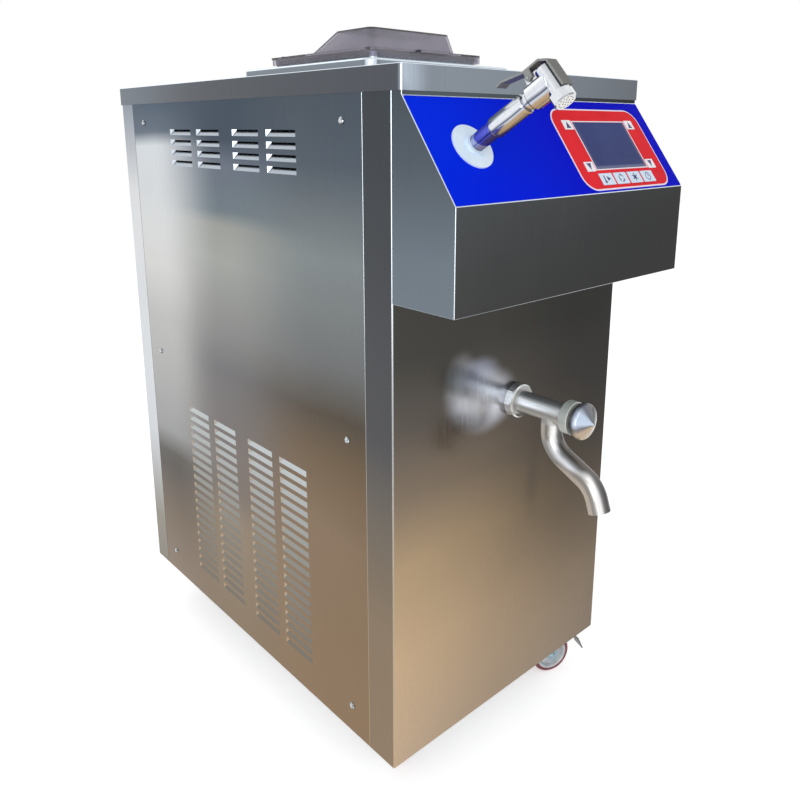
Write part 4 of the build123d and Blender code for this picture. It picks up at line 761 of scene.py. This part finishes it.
def circle(radius, steps, centre=(0.0, 0.0)):
    """The outline of a circle."""
    angles = [2 * pi * k / steps for k in range(steps)]
    return [(centre[0] + radius * cos(angle), centre[1] + radius * sin(angle)) for angle in angles]


def walls(first, second):
    """The faces that join two loops of vertices, point by point."""
    count = len(first)
    return [(first[k], first[(k + 1) % count], second[(k + 1) % count], second[k]) for k in range(count)]


class Slab:
    """Flat shapes of one thickness, gathered into one mesh on the slope."""

    def __init__(self, x, down, low, high):
        self.x, self.down, self.low, self.high = x, down, low, high
        self.vertices, self.faces = [], []

    def put(self, outline, out):
        start = len(self.vertices)
        self.vertices += [on_slope(self.x + px, self.down - py, out) for px, py in outline]
        return list(range(start, start + len(outline)))

    def shape(self, outline):
        """A plate with the outline given."""
        low, high = self.put(outline, self.low), self.put(outline, self.high)
        self.faces += [low, high]
        self.faces += walls(low, high)

    def band(self, outer, inner):
        """A flat ring between two outlines."""
        rings = [self.put(outer, self.low), self.put(outer, self.high)]
        rings += [self.put(inner, self.high), self.put(inner, self.low)]
        for first, second in zip(rings, rings[1:] + rings[:1]):
            self.faces += walls(first, second)

    def piece(self, name, body, slot, material):
        return add_piece(name, body, material, self.vertices, self.faces)


def turned(section, origin, axis, steps):
    """Vertices and faces of a closed section turned about an axis.

    The section is a function of the angle that gives its points as pairs of radius and length along the axis.
    """
    axis = Vector(axis).normalized()
    side = axis.orthogonal().normalized()
    other = axis.cross(side)
    vertices = []
    for step in range(steps):
        angle = 2 * pi * step / steps
        out = side * cos(angle) + other * sin(angle)
        vertices += [origin + axis * along + out * radius for radius, along in section(angle)]
    count = len(section(0.0))
    faces = []
    for step in range(steps):
        here, there = step * count, (step + 1) % steps * count
        faces += walls(range(here, here + count), range(there, there + count))
    return vertices, faces


def seam_ring(name, body, material, origin, axis, radius, size):
    """A low, slightly uneven weld bead round a tube."""
    points = 8
    ripples = 24

    def section(angle):
        low = size * 0.45 * (1 + 0.12 * sin(angle * ripples))
        turns = [2 * pi * point / points for point in range(points)]
        return [(radius + low * sin(turn), size * cos(turn)) for turn in turns]

    vertices, faces = turned(section, origin, axis, 72)
    return add_piece(name, body, material, vertices, faces, smooth=True)


class ArtSettings(bpy.types.PropertyGroup):
    outline: FloatProperty(name="Outline", description="Width of the white line round the membrane",
                           default=0.0026, unit="LENGTH")
    border: FloatProperty(name="Screen border", description="Width of the white frame round the screen",
                          default=0.0018, unit="LENGTH")
    arrow: FloatProperty(name="Arrow", description="Height of the arrows", default=0.0112, unit="LENGTH")
    ink: FloatVectorProperty(name="Ink", description="Colour of the pictograms",
                             subtype="COLOR", size=4, default=tone(28, 24, 96))
    white: FloatVectorProperty(name="White", description="Colour of the lines",
                               subtype="COLOR", size=4, default=tone(248, 236, 246))


class KnobSettings(bpy.types.PropertyGroup):
    radius: FloatProperty(name="Radius", description="Widest radius of the tap's knob",
                          default=0.0268, unit="LENGTH")
    back: FloatProperty(name="Back", description="Distance of its back from the front panel",
                        default=0.1143, unit="LENGTH")
    wide: FloatProperty(name="Rim", description="Distance of its widest place from the front panel",
                        default=0.1240, unit="LENGTH")
    tip: FloatProperty(name="Tip", description="Distance of its tip from the front panel",
                       default=0.1420, unit="LENGTH")


class SeamSettings(bpy.types.PropertyGroup):
    bead: FloatProperty(name="Bead", description="Half width of the weld beads",
                        default=0.0013, unit="LENGTH")


class StageSettings(bpy.types.PropertyGroup):
    lens: FloatProperty(name="Lens", description="Focal length of the camera", default=34.16, unit="CAMERA")
    level: FloatProperty(name="Light level", description="Strength of the soft sky on the object",
                         default=0.62, min=0.0)
    key: FloatProperty(name="Key light", description="Power of the large lamp", default=16.0, unit="POWER")
    floor: FloatVectorProperty(name="Floor", description="Colour of the floor",
                               subtype="COLOR", size=4, default=(0.93, 0.93, 0.93, 1))


class DressMetal(bpy.types.Operator):
    """Give the sheets and metal fittings their finishes"""
    bl_idname = "pasteurizer.dress_metal"
    bl_label = "Dress metal"

    def execute(self, context):
        for node, material in {**sheet_finishes(), **metal_finishes()}.items():
            dress(node, material)
        return {"FINISHED"}


class DressOthers(bpy.types.Operator):
    """Give the films, plastics, rubber and inner parts their finishes"""
    bl_idname = "pasteurizer.dress_others"
    bl_label = "Dress plastics and inside"

    def execute(self, context):
        for node, material in other_finishes().items():
            dress(node, material)
        return {"FINISHED"}


class AddKeypadArt(bpy.types.Operator):
    """Draw the lines of the keypad and the arrows and pictograms of its keys"""
    bl_idname = "pasteurizer.add_keypad_art"
    bl_label = "Add keypad artwork"

    def execute(self, context):
        art = context.scene.pasteurizer_art
        white = plastic("white_lines", tuple(art.white), tone(236, 226, 240), 0.35)
        ink = plastic("key_ink", tuple(art.ink), tone(40, 44, 120), 0.4)
        wide, tall, corner = KEYPAD_SIZE[0] / 2, KEYPAD_SIZE[1] / 2, KEYPAD_SIZE[2]
        width = art.outline
        lines = Slab(KEYPAD_X, KEYPAD_DOWN, FILM_TOP, FILM_TOP + OUTLINE_THICKNESS)
        lines.band(rounded(wide + width, tall + width, corner + width), rounded(wide, tall, corner))
        lines.piece("keypad_outline", "cabinet", "red_membrane", white)
        wide, tall = SCREEN_SIZE[0] / 2, SCREEN_SIZE[1] / 2
        lines = Slab(KEYPAD_X, SCREEN_DOWN, MEMBRANE_TOP, MEMBRANE_TOP + BORDER_THICKNESS)
        lines.band(rectangle(wide + art.border, tall + art.border), rectangle(wide, tall))
        lines.piece("screen_border", "cabinet", "red_membrane", white)
        for key, (x, down, way) in ARROW_KEYS.items():
            tall, wide = art.arrow / 2 * way, art.arrow * 0.45
            mark = Slab(KEYPAD_X + x, down, KEY_TOP, KEY_TOP + INK_THICKNESS)
            mark.shape([(-wide, -tall), (wide, -tall), (0.0, tall)])
            mark.piece(f"arrow_{key[10:]}", f"{key}_body", "arrow_key", ink)
        self.pictograms(ink)
        return {"FINISHED"}

    def pictograms(self, ink):
        """Four plain signs: a thermometer with a play mark, three arrows in a ring, a star, and a clock."""
        slabs = {key: Slab(KEYPAD_X + x, FUNCTION_DOWN, KEY_TOP, KEY_TOP + INK_THICKNESS)
                 for key, x in FUNCTION_KEYS.items()}
        heat = slabs["function_key_heat"]
        heat.shape([(-0.0072, 0.0058), (-0.0072, -0.0030), (-0.0048, -0.0030), (-0.0048, 0.0058)])
        heat.shape(circle(0.0024, 20, (-0.0060, -0.0042)))
        heat.shape([(0.0, 0.0046), (0.0082, 0.0006), (0.0, -0.0034)])
        cycle = slabs["function_key_cycle"]
        for turn in range(3):
            cycle.band(*self.arc(0.0064, 0.0048, turn * 2 * pi / 3 + 0.35, 1.15))
            head = turn * 2 * pi / 3 + 1.55
            tip = head + 0.42
            cycle.shape([(0.0082 * cos(head), 0.0082 * sin(head)), (0.0056 * cos(tip), 0.0056 * sin(tip)),
                         (0.0030 * cos(head), 0.0030 * sin(head))])
        cool = slabs["function_key_cool"]
        for ray in range(6):
            angle = ray * pi / 3 + pi / 6
            far = (0.0068 * cos(angle), 0.0068 * sin(angle))
            thin = (-0.0008 * sin(angle), 0.0008 * cos(angle))
            cool.shape([thin, (-thin[0], -thin[1]), (far[0] - thin[0], far[1] - thin[1]),
                        (far[0] + thin[0], far[1] + thin[1])])
        cool.shape([(0.0034 * cos(k * pi / 3), 0.0034 * sin(k * pi / 3)) for k in range(6)])
        store = slabs["function_key_store"]
        store.band(circle(0.0066, 32), circle(0.0054, 32))
        store.shape([(-0.0005, -0.0006), (0.0005, -0.0006), (0.0005, 0.0042), (-0.0005, 0.0042)])
        store.shape([(-0.0005, -0.0006), (0.0034, -0.0006), (0.0034, 0.0004), (-0.0005, 0.0004)])
        for key, slab in slabs.items():
            slab.piece(f"sign_{key[13:]}", f"{key}_body", "function_key", ink)

    def arc(self, outer, inner, start, sweep, steps=10):
        """The outline of a bent bar, as an outer and an inner loop that close on themselves."""
        angles = [start + sweep * k / steps for k in range(steps + 1)]
        far = [(outer * cos(a), outer * sin(a)) for a in angles]
        near = [(inner * cos(a), inner * sin(a)) for a in angles]
        middle = (outer + inner) / 2
        core = [(middle * cos(a), middle * sin(a)) for a in angles]
        return far + near[::-1], core + core[::-1]


class TurnKnob(bpy.types.Operator):
    """Turn the knob of the tap: a rounded back, a wide rim and a low cone with a small tip"""
    bl_idname = "pasteurizer.turn_knob"
    bl_label = "Turn the tap's knob"

    def execute(self, context):
        knob = context.scene.pasteurizer_knob
        radius, back, wide, tip = knob.radius, knob.back, knob.wide, knob.tip
        profile = [(radius * share, back + out) for share, out in KNOB_BACK]
        share, start = KNOB_BACK[-1][0], profile[-1][1]
        steps = 6
        profile += [(radius * (share + (1 - share) * sin(k / steps * pi / 2)),
                     start + (wide - start) * k / steps) for k in range(1, steps + 1)]
        angles = [k * pi / 16 for k in range(1, 7)]
        profile += [(radius * (1 - KNOB_ROUNDING + KNOB_ROUNDING * cos(angle)), wide + KNOB_RIM * sin(angle))
                    for angle in angles]
        shoulder, start = profile[-1]
        end, short = KNOB_TIP[0]
        steps = 8
        profile += [(shoulder - (shoulder - end) * k / steps, start + (tip - short - start) * k / steps)
                    for k in range(1, steps + 1)]
        profile += [(end, tip - short) for end, short in KNOB_TIP[1:]] + [(0.0, tip + 0.0001)]
        vertices, faces = turned(lambda angle: profile, TAP, (0, -1, 0), KNOB_STEPS)
        finish = frame["nodes"]["tap_knob"].material_slots[0].material
        piece = add_piece("turned_knob", "tap_valve", finish, vertices, faces, smooth=True)
        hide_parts("tap_knob")
        return {"FINISHED"}


class AddSeams(bpy.types.Operator):
    """Lay the weld bead between the tap's barrel and its collar"""
    bl_idname = "pasteurizer.add_seams"
    bl_label = "Add weld seam"

    def execute(self, context):
        bead = context.scene.pasteurizer_seams.bead
        weld = banded("weld_bead", DOWN_RIGHT, TAP_STOPS, 0.3, amount=0.15)
        seam_ring("collar_weld", "cabinet", weld, TAP_WELD, (0, 1, 0), TAP_WELD_RADIUS, bead)
        return {"FINISHED"}


class AddStage(bpy.types.Operator):
    """Set the floor, the sky, the lamps and the camera"""
    bl_idname = "pasteurizer.add_stage"
    bl_label = "Add stage"

    def execute(self, context):
        stage = context.scene.pasteurizer_stage
        self.floor(stage)
        self.sky(context.scene, stage)
        self.lamps(context.scene, stage)
        self.camera(context.scene, stage)
        return {"FINISHED"}

    def floor(self, stage):
        """A pale floor that looks almost white and still takes the soft shadow."""
        mesh = bpy.data.meshes.new("floor")
        corners = [(x, y, 0) for x, y in rectangle(FLOOR_REACH, FLOOR_REACH)]
        mesh.from_pydata(corners, [], [(0, 1, 2, 3)])
        finish = Finish("pale_floor", roughness=0.9)
        finish.colour(tuple(stage.floor))
        rays = finish.node("ShaderNodeLightPath")
        seen = finish.math("MAXIMUM", rays.outputs["Is Camera Ray"], rays.outputs["Is Glossy Ray"])
        seen = finish.math("MAXIMUM", seen, rays.outputs["Is Transmission Ray"])
        glow = finish.node("ShaderNodeEmission")
        glow.inputs["Color"].default_value = (1, 1, 1, 1)
        finish.feed(glow.inputs["Strength"], finish.math("MULTIPLY", seen, FLOOR_GLOW))
        both = finish.node("ShaderNodeAddShader")
        output = next(node for node in finish.tree.nodes if node.type == "OUTPUT_MATERIAL")
        finish.feed(both.inputs[0], finish.shader.outputs["BSDF"])
        finish.feed(both.inputs[1], glow.outputs[0])
        finish.feed(output.inputs["Surface"], both.outputs[0])
        mesh.materials.append(finish.material)
        floor = bpy.data.objects.new("floor", mesh)
        bpy.context.scene.collection.objects.link(floor)

    def sky(self, scene, stage):
        """A white sky that lights the object less than it is bright to look at."""
        world = bpy.data.worlds.new("studio_sky")
        scene.world = world
        world.use_nodes = True
        nodes, links = world.node_tree.nodes, world.node_tree.links
        nodes.clear()
        rays = nodes.new("ShaderNodeLightPath")
        seen = rays.outputs["Is Camera Ray"]
        for label in ("Is Glossy Ray", "Is Transmission Ray"):
            either = nodes.new("ShaderNodeMath")
            either.operation = "MAXIMUM"
            links.new(seen, either.inputs[0])
            links.new(rays.outputs[label], either.inputs[1])
            seen = either.outputs[0]
        level = nodes.new("ShaderNodeMapRange")
        level.inputs["To Min"].default_value = stage.level
        level.inputs["To Max"].default_value = 1.0
        links.new(seen, level.inputs["Value"])
        background = nodes.new("ShaderNodeBackground")
        background.inputs["Color"].default_value = (1, 1, 1, 1)
        links.new(level.outputs["Result"], background.inputs["Strength"])
        output = nodes.new("ShaderNodeOutputWorld")
        links.new(background.outputs[0], output.inputs["Surface"])

    def lamps(self, scene, stage):
        for name, place, share, size in LAMPS:
            light = bpy.data.lights.new(name, "AREA")
            light.energy = stage.key * share
            light.size = size
            lamp = bpy.data.objects.new(name, light)
            lamp.location = place
            lamp.rotation_euler = (LAMP_TARGET - lamp.location).to_track_quat("-Z", "Y").to_euler()
            scene.collection.objects.link(lamp)

    def camera(self, scene, stage):
        data = bpy.data.cameras.new("photo_view")
        data.lens = stage.lens
        data.sensor_width = CAMERA_SENSOR
        data.shift_x, data.shift_y = CAMERA_SHIFT
        camera = bpy.data.objects.new("photo_view", data)
        ahead, right = Vector(CAMERA_AHEAD).normalized(), Vector(CAMERA_RIGHT).normalized()
        turn = Matrix((right, right.cross(ahead), -ahead)).transposed().to_4x4()
        camera.matrix_world = Matrix.Translation(CAMERA_PLACE) @ turn
        scene.collection.objects.link(camera)
        scene.camera = camera
        scene.view_settings.view_transform = "Standard"


STEPS = (DressMetal, DressOthers, AddKeypadArt, TurnKnob, AddSeams, AddStage)


class PasteurizerPanel(bpy.types.Panel):
    """Sidebar panel with one button for each step"""
    bl_idname = "VIEW3D_PT_pasteurizer"
    bl_label = "Pasteurizer"
    bl_space_type = "VIEW_3D"
    bl_region_type = "UI"
    bl_category = "Pasteurizer"

    def draw(self, context):
        for group in SETTINGS:
            box = self.layout.box()
            settings = getattr(context.scene, group)
            for name in settings.bl_rna.properties.keys():
                if name not in ("rna_type", "name"):
                    box.prop(settings, name)
        for step in STEPS:
            self.layout.operator(step.bl_idname)


SETTINGS = {
    "pasteurizer_art": ArtSettings,
    "pasteurizer_knob": KnobSettings,
    "pasteurizer_seams": SeamSettings,
    "pasteurizer_stage": StageSettings,
}


def register():
    for group, kind in SETTINGS.items():
        bpy.utils.register_class(kind)
        setattr(bpy.types.Scene, group, PointerProperty(type=kind))
    for step in (*STEPS, PasteurizerPanel):
        bpy.utils.register_class(step)


def unregister():
    for step in reversed((*STEPS, PasteurizerPanel)):
        bpy.utils.unregister_class(step)
    for group, kind in SETTINGS.items():
        delattr(bpy.types.Scene, group)
        bpy.utils.unregister_class(kind)


def main():
    register()
    for step in STEPS:
        area, name = step.bl_idname.split(".")
        getattr(getattr(bpy.ops, area), name)()


if __name__ == "__main__":
    main()
